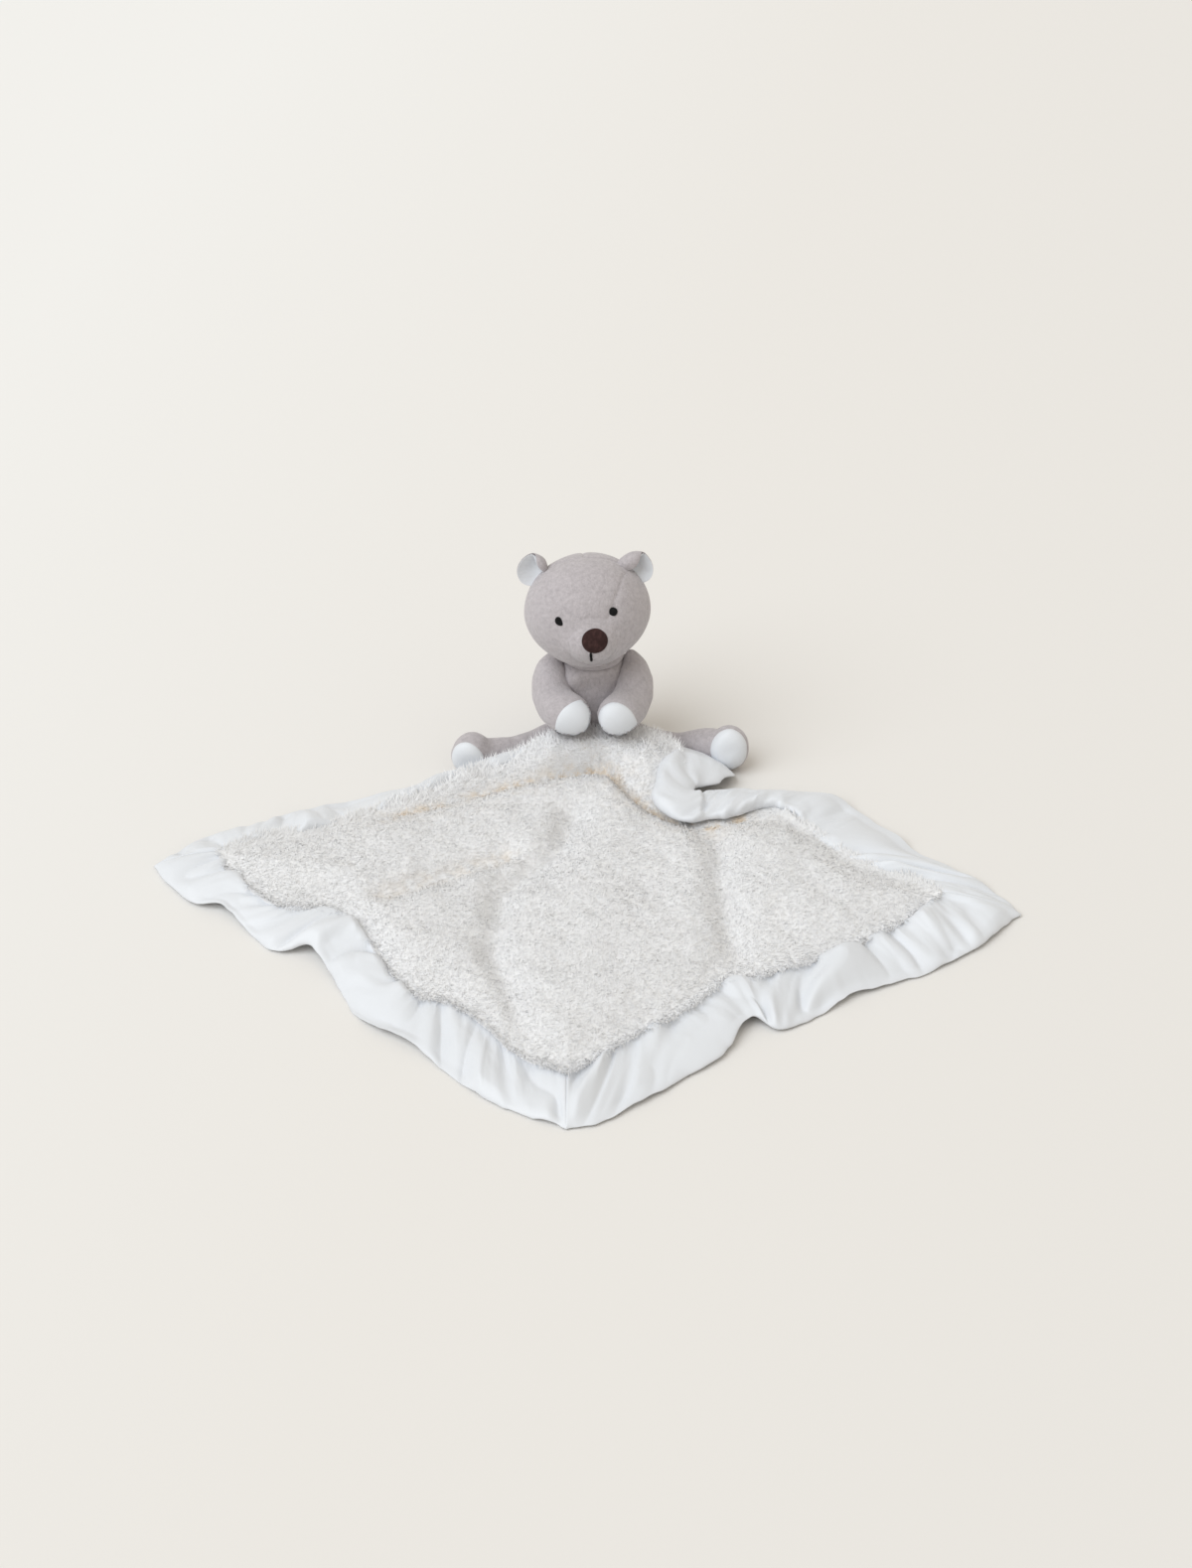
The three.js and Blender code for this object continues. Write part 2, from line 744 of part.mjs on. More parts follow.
// Smooth hem and seam lines through the rows of one side, in step with each other
function sideLines(shares) {
  const toPoint = (share) => new THREE.Vector3(...scaled(share, halfSpread, halfSpread, foldHeight));
  const hem = new THREE.CatmullRomCurve3(shares.map((row) => toPoint(row.slice(0, 3))));
  const seam = new THREE.CatmullRomCurve3(shares.map((row) => toPoint(row.slice(3))));
  const count = 2 * (shares.length - 1);
  return { hem: hem.getPoints(count), seam: seam.getPoints(count) };
}

// One plump border strip between its seam and its hem, held back a little at both mitres
function borderStrip(shares, growth) {
  const { hem, seam } = sideLines(shares);
  const count = hem.length;
  const across = plumpShares.length;
  const ringSize = 2 * across;
  const hold = mitreGap - growth;
  const positions = [];
  const triangles = [];
  for (let k = 0; k < count; k += 1) {
    const before = Math.max(k - 1, 0);
    const after = Math.min(k + 1, count - 1);
    const outward = hem[k].clone().sub(seam[k]).normalize();
    const along = hem[after].clone().add(seam[after]).sub(hem[before]).sub(seam[before]).normalize();
    const up = new THREE.Vector3().crossVectors(outward, along).normalize();
    if (up.z < 0) up.negate();
    const shift = k === 0 ? hold : (k === count - 1 ? -hold : 0);
    const ring = [];
    for (let level = 0; level < ringSize; level += 1) {
      const onTop = level < across;
      const step = onTop ? level : ringSize - 1 - level;
      const share = step / (across - 1);
      const edge = step === 0 ? -growth : (step === across - 1 ? growth : 0);
      const height = plumpShares[step] * borderThickness / 2 + growth;
      const point = seam[k].clone().lerp(hem[k], share)
        .addScaledVector(outward, edge)
        .addScaledVector(along, shift)
        .addScaledVector(up, onTop ? height : -height);
      ring.push(point);
    }
    ring.forEach((point) => positions.push(...point.toArray()));
  }
  for (let k = 0; k < count - 1; k += 1) {
    for (let level = 0; level < ringSize; level += 1) {
      const next = (level + 1) % ringSize;
      const here = k * ringSize;
      const there = here + ringSize;
      triangles.push(here + level, there + level, there + next);
      triangles.push(here + level, there + next, here + next);
    }
  }
  for (let level = 1; level < ringSize - 1; level += 1) {
    const end = (count - 1) * ringSize;
    triangles.push(0, level, level + 1);
    triangles.push(end, end + level + 1, end + level);
  }
  const clockwise = isInsideOut(positions, triangles);
  return solidFromRings(positions, clockwise ? triangles.reverse() : triangles);
}

// True where the triangles enclose a negative volume
function isInsideOut(positions, triangles) {
  const corner = (k) => new THREE.Vector3(...positions.slice(3 * k, 3 * k + 3));
  let volume = 0;
  for (let k = 0; k < triangles.length; k += 3) {
    const [a, b, c] = [corner(triangles[k]), corner(triangles[k + 1]), corner(triangles[k + 2])];
    volume += a.dot(b.cross(c));
  }
  return volume < 0;
}

// The fleece's edge: the seam lines, drawn in by the seam gap
function fleeceEdge(sides) {
  const rows = [];
  for (const shares of sides) {
    const { hem, seam } = sideLines(shares);
    seam.forEach((point, k) => {
      const inward = point.clone().sub(hem[k]).setZ(0).normalize().multiplyScalar(seamGap);
      rows.push([point.x + inward.x, point.y + inward.y]);
    });
  }
  return rows.sort((a, b) => a[0] - b[0]);
}

// Height of the fleece's upper face
function fleeceTop(x, y, fade) {
  const flat = backingThickness + clearance + fleeceThickness;
  const distances = valleyShares.map((share) => {
    const [x0, y0, x1, y1] = scaled(share, halfSpread);
    const line = new THREE.Line3(new THREE.Vector3(x0, y0, 0), new THREE.Vector3(x1, y1, 0));
    const point = new THREE.Vector3(x, y, 0);
    return line.closestPointToPoint(point, true, new THREE.Vector3()).distanceTo(point) / valleyWidth;
  });
  const valley = Math.max(...distances.map((distance) => Math.exp(-distance * distance)));
  const panel = flat + swellHeight * fade * (1 - valley);
  const [, crestY, crestZ, creaseY, creaseZ] = rollShares[0].map(
    (first, column) => tableValue(rollShares, column, x / halfSpread));
  const front = creaseY * halfSpread - y;
  if (front > 0) {
    const rise = 1 - Math.exp(-front / creaseLip);
    return THREE.MathUtils.lerp(creaseZ * foldHeight, panel, rise);
  }
  const climb = Math.min(1, -front / ((crestY - creaseY) * halfSpread));
  return foldHeight * THREE.MathUtils.lerp(creaseZ, crestZ, Math.sin(climb * Math.PI / 2));
}

// A layer with the fleece's outline and folds. The upper depth is 0 for the fleece's own upper face,
// and otherwise both depths are measured down from the fleece's underside.
function blanketSheet(upper, lower) {
  const covered = backRightShares.slice(0, coveredRowCount);
  const back = fleeceEdge([backLeftShares, covered])
    .filter(([x, y]) => x < 0 || y < covered[coveredRowCount - 1][4] * halfSpread)
    .concat(coveredEdgeShares.map((share) => scaled(share, halfSpread)))
    .sort((a, b) => a[0] - b[0]);
  const front = fleeceEdge([frontLeftShares, frontRightShares]);
  const low = Math.max(back[0][0], front[0][0]);
  const high = Math.min(back[back.length - 1][0], front[front.length - 1][0]);
  const middle = (low + high) / 2;
  const half = (high - low) / 2 * (1 - cornerShare);
  const topSide = [];
  const underSide = [];
  for (let column = 0; column <= fleeceColumns; column += 1) {
    const sweep = 2 * column / fleeceColumns - 1;
    const x = middle + half * Math.sign(sweep) * Math.abs(sweep) ** columnCrowding;
    const near = tableValue(front, 1, x);
    const far = tableValue(back, 1, x);
    for (let row = 0; row <= fleeceRows; row += 1) {
      const depth = 1 - (1 - row / fleeceRows) ** rowCrowding;
      const y = THREE.MathUtils.lerp(near, far, depth);
      const inside = Math.min(1 - Math.abs(sweep), depth, 1 - depth) / edgeFadeShare;
      const top = fleeceTop(x, y, THREE.MathUtils.smoothstep(inside, 0, 1));
      const under = Math.max(top - fleeceThickness, backingThickness + clearance);
      topSide.push(x, y, upper === 0 ? top : under - upper);
      underSide.push(x, y, lower === 0 ? under : under - lower);
    }
  }
  return gridSolid(topSide, underSide, fleeceColumns + 1, fleeceRows + 1);
}

// A closed solid between two grids of points
function gridSolid(topSide, underSide, columns, rows) {
  const count = columns * rows;
  const triangles = [];
  const at = (column, row) => column * rows + row;
  for (let column = 0; column < columns - 1; column += 1) {
    for (let row = 0; row < rows - 1; row += 1) {
      const [a, b] = [at(column, row), at(column + 1, row)];
      const [c, d] = [at(column + 1, row + 1), at(column, row + 1)];
      triangles.push(a, b, c, a, c, d);
      triangles.push(count + a, count + c, count + b, count + a, count + d, count + c);
    }
  }
  const rim = [];
  for (let column = 0; column < columns - 1; column += 1) rim.push(at(column, 0));
  for (let row = 0; row < rows - 1; row += 1) rim.push(at(columns - 1, row));
  for (let column = columns - 1; column > 0; column -= 1) rim.push(at(column, rows - 1));
  for (let row = rows - 1; row > 0; row -= 1) rim.push(at(0, row));
  rim.forEach((a, k) => {
    const b = rim[(k + 1) % rim.length];
    triangles.push(count + a, count + b, b, count + a, b, a);
  });
  return solidFromRings([...topSide, ...underSide], triangles);
}

const borderSides = [backLeftShares, frontLeftShares, frontRightShares, backRightShares];

function borderSpace() {
  return joined(borderSides.map((shares) => borderStrip(shares, clearance)));
}

function blanketFleece(space) {
  const arms = [-1, 1].map((side) => armForm(side, clearance + satinWall + clearance));
  return blanketSheet(0, 0).subtract(space).subtract(joined(arms));
}

function blanketBacking(space) {
  return blanketSheet(clearance, clearance + backingThickness).subtract(space);
}

// The thread bar between the blanket's back corner and the tummy
function tummyTack() {
  const [x, y, z] = scaled(backLeftShares[0].slice(0, 3), halfSpread, halfSpread, foldHeight);
  const middle = (y + borderThickness / 2 - torsoHalfDepth) / 2;
  const reach = Math.abs(y + torsoHalfDepth) / 2 + tackRadius;
  const bar = ellipsoid([x, middle, z], [2 * tackRadius, reach, tackRadius], smallSegments);
  return bar
    .subtract(torsoForm(clearance, bodySegments))
    .subtract(borderStrip(backLeftShares, clearance))
    .subtract(borderStrip(backRightShares, clearance));
}

// Scene

function piece(name, solid, finish) {
  const mesh = new THREE.Mesh(toGeometry(solid), new THREE.MeshStandardMaterial(finish));
  mesh.name = name;
  return mesh;
}

function buildBlanket() {
  const group = new THREE.Group();
  const space = borderSpace();
  group.add(
    piece('blanket_fleece', blanketFleece(space), fleeceFinish),
    piece('blanket_backing', blanketBacking(space), satinFinish),
    piece('border_back_left', borderStrip(backLeftShares, 0), satinFinish),
    piece('border_front_left', borderStrip(frontLeftShares, 0), satinFinish),
    piece('border_front_right', borderStrip(frontRightShares, 0), satinFinish),
    piece('border_back_right', borderStrip(backRightShares, 0), satinFinish),
    piece('tummy_tack', tummyTack(), threadFinish),
  );
  return group;
}

function buildTorso() {
  const group = new THREE.Group();
  group.add(
    piece('torso_cover', torsoCover(), plushFinish),
    piece('torso_stuffing', torsoStuffing(), stuffingFinish),
    piece('neck_stuffing', neckBall(0), stuffingFinish),
  );
  return group;
}

function buildEar(name, share) {
  const root = earRoot(share);
  const group = new THREE.Group();
  group.applyMatrix4(root);
  group.add(
    piece(`${name}_back`, earBack(root), plushFinish),
    piece(`${name}_lining`, earLining(root), satinFinish),
  );
  return group;
}

function buildHead() {
  const group = new THREE.Group();
  group.applyMatrix4(headMatrix);
  group.add(
    piece('head_cover', headCover(), plushFinish),
    piece('head_stuffing', headStuffing(), stuffingFinish),
    piece('muzzle_cover', muzzleCover(), plushFinish),
    piece('nose', nosePiece(), noseFinish),
    piece('mouth_stitch', mouthStitch(), threadFinish),
    piece('eye_left', eyePiece(leftEyeShare), threadFinish),
    piece('eye_right', eyePiece(rightEyeShare), threadFinish),
    buildEar('ear_left', leftEarShare),
    buildEar('ear_right', rightEarShare),
  );
  return group;
}

function buildArm(name, side) {
  const group = new THREE.Group();
  const space = armSpace(side);
  group.add(
    piece(`arm_${name}_cover`, armCover(side, space), plushFinish),
    piece(`arm_${name}_stuffing`, armStuffing(side, space), stuffingFinish),
    piece(`paw_${name}_pad`, pawPad(side), satinFinish),
  );
  return group;
}

function buildLeg(name, leg) {
  const group = new THREE.Group();
  const space = legSpace(leg);
  group.add(
    piece(`leg_${name}_cover`, legCover(leg, space), plushFinish),
    piece(`leg_${name}_stuffing`, legStuffing(leg, space), stuffingFinish),
    piece(`foot_${name}_sole`, footSole(leg), satinFinish),
  );
  return group;
}

const lovey = new THREE.Group();
lovey.add(
  buildBlanket(),
  buildTorso(),
  buildHead(),
  buildArm('left', -1),
  buildArm('right', 1),
  buildLeg('left', leftLeg),
  buildLeg('right', rightLeg),
);

export default lovey;
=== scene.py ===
import math

import bpy
import numpy as np
from mathutils import Euler, Matrix, Vector
from mathutils.bvhtree import BVHTree


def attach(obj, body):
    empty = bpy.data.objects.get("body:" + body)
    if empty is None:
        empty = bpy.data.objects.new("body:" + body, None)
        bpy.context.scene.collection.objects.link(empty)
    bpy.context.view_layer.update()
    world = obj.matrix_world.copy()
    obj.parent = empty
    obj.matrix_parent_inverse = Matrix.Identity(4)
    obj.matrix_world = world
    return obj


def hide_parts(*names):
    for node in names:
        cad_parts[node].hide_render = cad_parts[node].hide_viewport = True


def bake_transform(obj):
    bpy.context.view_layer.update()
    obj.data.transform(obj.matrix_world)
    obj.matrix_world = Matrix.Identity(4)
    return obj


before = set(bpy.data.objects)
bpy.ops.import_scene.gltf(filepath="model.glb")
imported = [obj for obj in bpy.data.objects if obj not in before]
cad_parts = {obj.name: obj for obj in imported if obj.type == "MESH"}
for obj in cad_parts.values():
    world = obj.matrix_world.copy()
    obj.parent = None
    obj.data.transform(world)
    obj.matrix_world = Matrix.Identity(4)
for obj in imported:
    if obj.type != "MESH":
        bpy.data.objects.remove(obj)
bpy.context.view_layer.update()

bl_info = {
    "name": "Comfort Blanket Lovey",
    "version": (1, 0, 0),
    "blender": (4, 5, 0),
    "location": "View3D > Sidebar > Lovey",
    "description": "Dresses a sitting soft toy bear and its satin-edged fleece blanket",
    "category": "Object",
}

MM = 0.001
ROOT_BODY = "body_and_blanket"

# Blanket as it lies, in millimetres: the two lengths that its shares are taken of, then its layers
HALF_SPREAD = 250.0
FOLD_HEIGHT = 25.0
BACKING_THICKNESS = 1.2
FLEECE_THICKNESS = 7.0
BORDER_THICKNESS = 5.4
BORDER_DOME = 1.6
HEM_DROP = 1.8
HEM_LOWEST = 0.7
MITRE_OVERLAP = 0.9
LAYER_GAP = 0.3
PANEL_OVERLAP = 3.2
SATIN_LOWEST = 0.15
SATIN_THINNEST = 0.5

# Fleece panel, in millimetres: how it swells inside its edge, then its valleys, crease and mound. Lumps
# here and below are rows of height, size and seed
EDGE_SWELL = 34.0
EDGE_LIFT = 1.0
EDGE_LIFT_WIDTH = 4.0
SWELL_HEIGHT = 6.2
VALLEY_WIDTH = 10.5
VALLEY_SHARPNESS = 1.8
CREASE_LIP = 8.0
MOUND_WIDTH = 26.0
MOUND_HEIGHT = 5.0
PANEL_LUMPS = ((1.6, 34, 1), (0.8, 13, 2))
MAT_LUMPS = ((0.28, 2.8, 3), (0.32, 6.0, 4))

# The panel's grid, which stays under the 200,000 triangles above which the export thins a piece. Its
# columns spread towards the sides and its rows gather towards the roll, by these powers. The front and
# back edges run slantwise, so a distance straight to them counts as less
PANEL_COLUMNS = 248
PANEL_ROWS = 198
PANEL_REACH = 0.994
COLUMN_SPREAD = 1.1
ROW_GATHER = 1.3
EDGE_SLANT = 0.8
LINING_THINNING = 3

# Pile: the pieces it is made in, then in millimetres how near the crest and the edge it changes, and how
# wide its swirls are. The rest are shares: how far a lock turns and strays, how it leans out at the edge,
# and how much longer it is along the crest and the edge
PILE_PIECES = 4
CREST_WIDTH = 11.0
PILE_EDGE = 5.0
LONG_EDGE = 4.0
SWIRL_SIZE = 6.0
SWIRL = 2.4
STRAY = 0.12
EDGE_LEAN = 3
CREST_LENGTH = 0.6
EDGE_LENGTH = 0.8

# One lock: its points, its width at each step as a share, and how far it leans and curls in degrees.
# Then its root's depth and its width in millimetres, and its length as a share of the pile's
LOCK_POINTS = 5
LOCK_TAPERS = (1.0, 0.85, 0.0)
LOCK_TILT = (48, 72)
LOCK_CURL = (0, 20)
LOCK_ROOT = 0.4
LOCK_WIDTH = (0.25, 0.5)
LOCK_LENGTH = (0.5, 1.05)

# Painted warm shade on the pile: its tufts, its line along the crease and its reach round that and
# the dent, in millimetres, then its colour
TUFT_SIZE = 3.0
WARM_LINE = 2.8
WARM_REACH = 10.0
WARM_DENT = 7.0
# Colour of the painted warm shade in the crease and the dent
CREASE_SHADE_COLOUR = (0.74, 0.6, 0.43)

# Satin strips, in millimetres: their grid and tapered ends, and the ripples of their hems and seams
BORDER_STEP = 1.4
BORDER_ROWS = 26
END_TAPER = 6.0
HEM_RIPPLE = ((1.0, 11, 7), (0.5, 5, 8))
SEAM_RIPPLE = ((1.8, 10, 9), (0.8, 4.5, 10))
HEM_LIFT = ((1.6, 16, 11),)

# Gathers: their slant, as its least, its change and the size of that, then how high each kind stands
GATHER_SLANT = (0.35, 0.9, 55)
FINE_GATHER = 0.9
MIDDLE_GATHER = 2.0
BROAD_GATHER = 7.6
GATHER_LEVEL = 3.6

# The fold, where a strip turns over on itself: calmer gathers, then the step and the dip of its crease
FOLD_CALM = 0.5
FOLD_CALM_WIDTH = 26.0
FOLD_STEP = 1.6
FOLD_STEP_WIDTH = 0.8
FOLD_STEP_REACH = 5
FOLD_DIP = 2.0
FOLD_DIP_WIDTH = 1.1

# Each row is one place along a side, in shares of half the spread and of the roll's height: the
# outer hem, then the seam between the satin and the fleece
BACK_LEFT_SHARES = [
    (0, -0.09, 0.32, 0, -0.12, 0.72), (-0.08, -0.098, 0.26, -0.088, -0.126, 0.7),
    (-0.164, -0.12, 0.14, -0.164, -0.15, 0.56), (-0.24, -0.168, 0.14, -0.24, -0.194, 0.5),
    (-0.296, -0.19, 0.14, -0.3, -0.232, 0.46), (-0.352, -0.186, 0.14, -0.36, -0.276, 0.4),
    (-0.428, -0.218, 0.16, -0.428, -0.322, 0.32), (-0.496, -0.25, 0.2, -0.484, -0.356, 0.28),
    (-0.58, -0.28, 0.12, -0.54, -0.388, 0.28), (-0.668, -0.332, 0.24, -0.644, -0.448, 0.3),
    (-0.78, -0.38, 0.12, -0.74, -0.468, 0.28), (-0.892, -0.44, 0.2, -0.788, -0.496, 0.28),
    (-0.992, -0.544, 0.12, -0.836, -0.528, 0.26),
]
FRONT_LEFT_SHARES = [
    (-0.992, -0.544, 0.12, -0.836, -0.528, 0.26), (-0.9, -0.684, 0.12, -0.816, -0.588, 0.28),
    (-0.82, -0.72, 0.28, -0.756, -0.664, 0.28), (-0.74, -0.816, 0.12, -0.684, -0.732, 0.28),
    (-0.684, -0.876, 0.12, -0.62, -0.744, 0.28), (-0.608, -0.88, 0.36, -0.556, -0.76, 0.32),
    (-0.54, -1.012, 0.12, -0.484, -0.86, 0.28), (-0.492, -1.108, 0.12, -0.42, -0.992, 0.24),
    (-0.388, -1.196, 0.24, -0.368, -1.06, 0.28), (-0.312, -1.276, 0.12, -0.308, -1.084, 0.28),
    (-0.236, -1.356, 0.12, -0.236, -1.144, 0.24), (-0.148, -1.424, 0.12, -0.16, -1.252, 0.24),
    (-0.052, -1.472, 0.12, -0.052, -1.32, 0.24),
]
FRONT_RIGHT_SHARES = [
    (-0.052, -1.472, 0.12, -0.052, -1.32, 0.24), (0.02, -1.452, 0.12, 0.008, -1.272, 0.24),
    (0.1, -1.392, 0.16, 0.052, -1.224, 0.28), (0.176, -1.328, 0.12, 0.092, -1.188, 0.28),
    (0.276, -1.228, 0.16, 0.196, -1.104, 0.28), (0.332, -1.124, 0.32, 0.272, -1.016, 0.32),
    (0.396, -1.152, 0.16, 0.34, -1, 0.28), (0.488, -1.092, 0.12, 0.416, -0.96, 0.24),
    (0.564, -1.024, 0.2, 0.512, -0.916, 0.28), (0.704, -0.96, 0.12, 0.624, -0.836, 0.28),
    (0.848, -0.848, 0.16, 0.712, -0.76, 0.28), (0.948, -0.732, 0.12, 0.768, -0.684, 0.26),
]
BACK_RIGHT_SHARES = [
    (0.948, -0.732, 0.1, 0.768, -0.684, 0.26), (0.91, -0.655, 0.1, 0.716, -0.64, 0.28),
    (0.83, -0.57, 0.18, 0.65, -0.6, 0.28), (0.748, -0.49, 0.1, 0.59, -0.56, 0.28),
    (0.69, -0.42, 0.2, 0.535, -0.505, 0.28), (0.628, -0.34, 0.16, 0.492, -0.44, 0.3),
    (0.562, -0.27, 0.28, 0.456, -0.372, 0.42), (0.472, -0.268, 0.36, 0.41, -0.35, 0.46),
    (0.38, -0.27, 0.42, 0.345, -0.385, 0.5), (0.3, -0.28, 0.48, 0.27, -0.42, 0.52),
    (0.25, -0.302, 0.54, 0.2, -0.42, 0.54), (0.236, -0.3, 0.58, 0.15, -0.38, 0.62),
    (0.244, -0.282, 0.56, 0.138, -0.31, 0.72), (0.29, -0.254, 0.46, 0.15, -0.236, 0.78),
    (0.314, -0.22, 0.38, 0.2, -0.176, 0.76), (0.334, -0.192, 0.28, 0.212, -0.156, 0.66),
    (0.31, -0.14, 0.1, 0.2, -0.135, 0.5),
    (0.16, -0.1, 0.16, 0.13, -0.125, 0.62), (0.08, -0.092, 0.3, 0.08, -0.12, 0.7),
    (0, -0.09, 0.32, 0, -0.12, 0.72),
]
# The panel's edge where the strip lies folded over it, and the rows of that strip before the fold
COVERED_EDGE_SHARES = [
    (0.47, -0.4), (0.44, -0.35), (0.4, -0.32), (0.345, -0.33), (0.285, -0.345), (0.24, -0.352),
    (0.218, -0.3), (0.214, -0.25), (0.21, -0.2), (0.205, -0.152), (0.18, -0.125), (0.135, -0.107),
    (0.08, -0.113), (0, -0.114),
]
COVERED_ROWS = 6
# The roll against the bear: across, crest place and height, crease place and height
ROLL_SHARES = np.array([
    (-0.46, -0.34, 0.34, -0.38, 0.34), (-0.36, -0.285, 0.42, -0.345, 0.34),
    (-0.3, -0.24, 0.48, -0.314, 0.34), (-0.24, -0.205, 0.49, -0.29, 0.32), (-0.2, -0.19, 0.49, -0.272, 0.31),
    (-0.164, -0.175, 0.58, -0.257, 0.3), (-0.12, -0.162, 0.78, -0.238, 0.29),
    (-0.088, -0.154, 0.92, -0.222, 0.28), (0, -0.15, 1, -0.194, 0.28),
    (0.03, -0.15, 1, -0.205, 0.26), (0.06, -0.15, 1, -0.268, 0.22),
    (0.12, -0.155, 0.94, -0.345, 0.22), (0.165, -0.16, 0.84, -0.386, 0.24),
    (0.206, -0.17, 0.74, -0.415, 0.28), (0.26, -0.2, 0.6, -0.43, 0.32), (0.34, -0.26, 0.4, -0.4, 0.34),
])
# Routes of the dent and the valleys in the fleece, then the mound, the fold and the fold's crease
DENT_SHARES = [(-0.193, -0.556), (-0.301, -0.619), (-0.46, -0.713)]
VALLEY_SHARES = [
    [(-0.045, -0.4), (-0.073, -0.538), (-0.195, -0.697), (-0.209, -0.813), (-0.214, -0.925),
     (-0.173, -1.07), (-0.15, -1.2)],
    DENT_SHARES,
    [(0.282, -0.48), (0.293, -0.811), (0.323, -0.971)],
]
MOUND_SHARES = (0.01, -0.3)
FOLD_MIDDLE_SHARES = (0.22, -0.29)
CREASE_SHARES = [(0.246, -0.296), (0.257, -0.33), (0.259, -0.366), (0.252, -0.4)]

# Stage: the camera's height in degrees, its distance in metres and what it looks at in millimetres, as
# in the photograph, from straight in front. Then the floor, the room's light and the window's
CAMERA_LIFT = 33
CAMERA_DISTANCE = 1.8
CAMERA_TARGET = (2, -48, 0)
CAMERA_LENS = 70
CAMERA_SENSOR = 36
FLOOR_REACH = 20000.0
ROOM_LIGHT = (1.0, 0.944, 0.85)
ROOM_STRENGTH = 0.7
WINDOW_LIGHT = (0.93, 0.993, 1.06)
WINDOW_WAY = (0.72, 0.46, -1)
WINDOW_ENERGY = 1.75
WINDOW_ANGLE = 54

# Head, in millimetres, in its own frame. The two centres and the neck are in the scene's
HEAD_HALF = Vector((37.0, 33.0, 33.7))
HEAD_CENTRE = Vector((-3.0, -6.0, 94.2))
HEAD_EULER = Euler((math.radians(-10), math.radians(-5), math.radians(3)), "YXZ")
CHIN_TAPER = 0.16
NECK_HALF = (19.0, 18.0, 7.0)
NECK_CENTRE = (0, -1, 62.5)
MUZZLE_CENTRE = Vector((1.1, -21.8, -9.1))
MUZZLE_HALF = Vector((15.5, 15.5, 13.3))
MUZZLE_BLEND = 2.2

# Sewn seams of the head: ways out from its middle, as shares of its half sizes
HEAD_SEAMS = {
    "right_dart": [(0.66, -0.3, 0.7), (0.6, -0.42, 0.68), (0.47, -0.75, 0.48), (0.36, -0.91, 0.24),
                   (0.27, -0.96, 0.12)],
    "brow": [(0.27, -0.96, 0.12), (0.06, -0.98, 0.18), (-0.16, -0.97, 0.18)],
    "left_dart": [(-0.62, -0.3, 0.72), (-0.59, -0.41, 0.7), (-0.51, -0.68, 0.53), (-0.38, -0.86, 0.35),
                  (-0.16, -0.97, 0.18)],
    "crown": [(-0.66, 0.02, 0.75), (-0.38, -0.03, 0.93), (-0.16, -0.07, 0.99), (0.06, -0.08, 0.99),
              (0.3, -0.07, 0.95), (0.51, -0.06, 0.86), (0.68, -0.04, 0.73)],
    "muzzle": [(-0.34, -0.82, -0.44), (-0.29, -0.73, -0.61), (-0.16, -0.63, -0.75), (-0.03, -0.58, -0.81),
               (0.1, -0.6, -0.8), (0.24, -0.73, -0.65), (0.34, -0.86, -0.38), (0.38, -0.92, -0.13)],
    "back": [(0.03, -0.05, 1), (0.02, 0.5, 0.87), (0, 0.87, 0.5), (0, 1, 0), (0, 0.87, -0.5)],
}

# Panels on the face, in the head's frame: where each sits and faces, how thick it is in its middle and
# at its edge, and its outline as radii at even turns from the right
FACE_PANELS = {
    "muzzle": {
        "place": (0.7, -34, -11.5), "facing": (0, -1, -0.35), "thickness": 0.55, "edge": 0.1,
        "radii": [14.5, 13.5, 12.5, 12.5, 12.5, 13.5, 14.5, 13.8, 12.8, 12.2, 12.0, 12.2, 12.8, 13.8],
    },
    "nose_pad": {
        "place": (1.9, -37, -5.9), "facing": (0.05, -1, 0.3), "thickness": 2.6, "edge": 0.7,
        "radii": [7.4, 7.2, 7.0, 7.0, 7.2, 7.4, 7.3, 7.0, 7.0, 7.2],
    },
    "mouth_thread": {
        "place": (-1.2, -37, -16.4), "facing": (0, -1, -0.15), "thickness": 0.5, "edge": 0.25,
        "radii": [0.6, 0.65, 0.9, 1.8, 4.6, 1.8, 0.9, 0.65] * 2,
    },
    "eye_left_stitch": {
        "place": (-17.8, -28.4, 5.1), "facing": (-0.35, -1, 0.2), "thickness": 0.95, "edge": 0.35,
        "radii": [2.2, 2.4, 2.8, 2.6, 2.2, 2.1, 2.4, 3.4],
    },
    "eye_right_stitch": {
        "place": (14.6, -29.5, 7.8), "facing": (0.3, -1, 0.25), "thickness": 0.95, "edge": 0.35,
        "radii": [2.6, 2.5, 2.6, 2.7, 2.6, 2.5, 2.6, 2.6],
    },
}
EYE_DIP = 0.7
EYE_DIP_WIDTH = 4.5
SEAM_WIDTH = 0.7
HEAD_LUMPS = ((0.35, 14, 6),)
HEAD_GRID = (200, 120, 0.012)
NECK_GRID = (48, 24, 0.05)

# Ears: root on the head, then in the ear's own plane its middle, half sizes, the line it folds on, and
# how far round it curls. Then its spokes and rings, the radius it rolls on, and the depth of its cup
EARS = {
    "ear_left": {
        "share": (-0.66, 0.08, 0.62), "middle": (2.2, 4.5), "half": (10.8, 9.2), "fold": (3.6, 112),
        "curl": 160,
    },
    "ear_right": {
        "share": (0.7, 0.0, 0.56), "middle": (-2.4, 3.0), "half": (12.8, 9.4), "fold": (2.6, -76),
        "curl": 165,
    },
}
EAR_GRID = (64, 16)
EAR_ROLL = 2.2
EAR_CUP = 3.4
# Layers of an ear: the finish, the size, and where its front and back lie from the cup
EAR_LAYERS = {"back": ("plush", 1.0, -0.5, 1.1), "lining": ("satin", 0.985, -1.6, -0.6)}

# Brushes that shape the chest: a centre, a radius, a shift and a swelling
CHEST = [((4, -26, 50), 22, (0, 4.5, 0), 0), ((-16, -20, 54), 14, (-1, -3.5, 0), 0)]

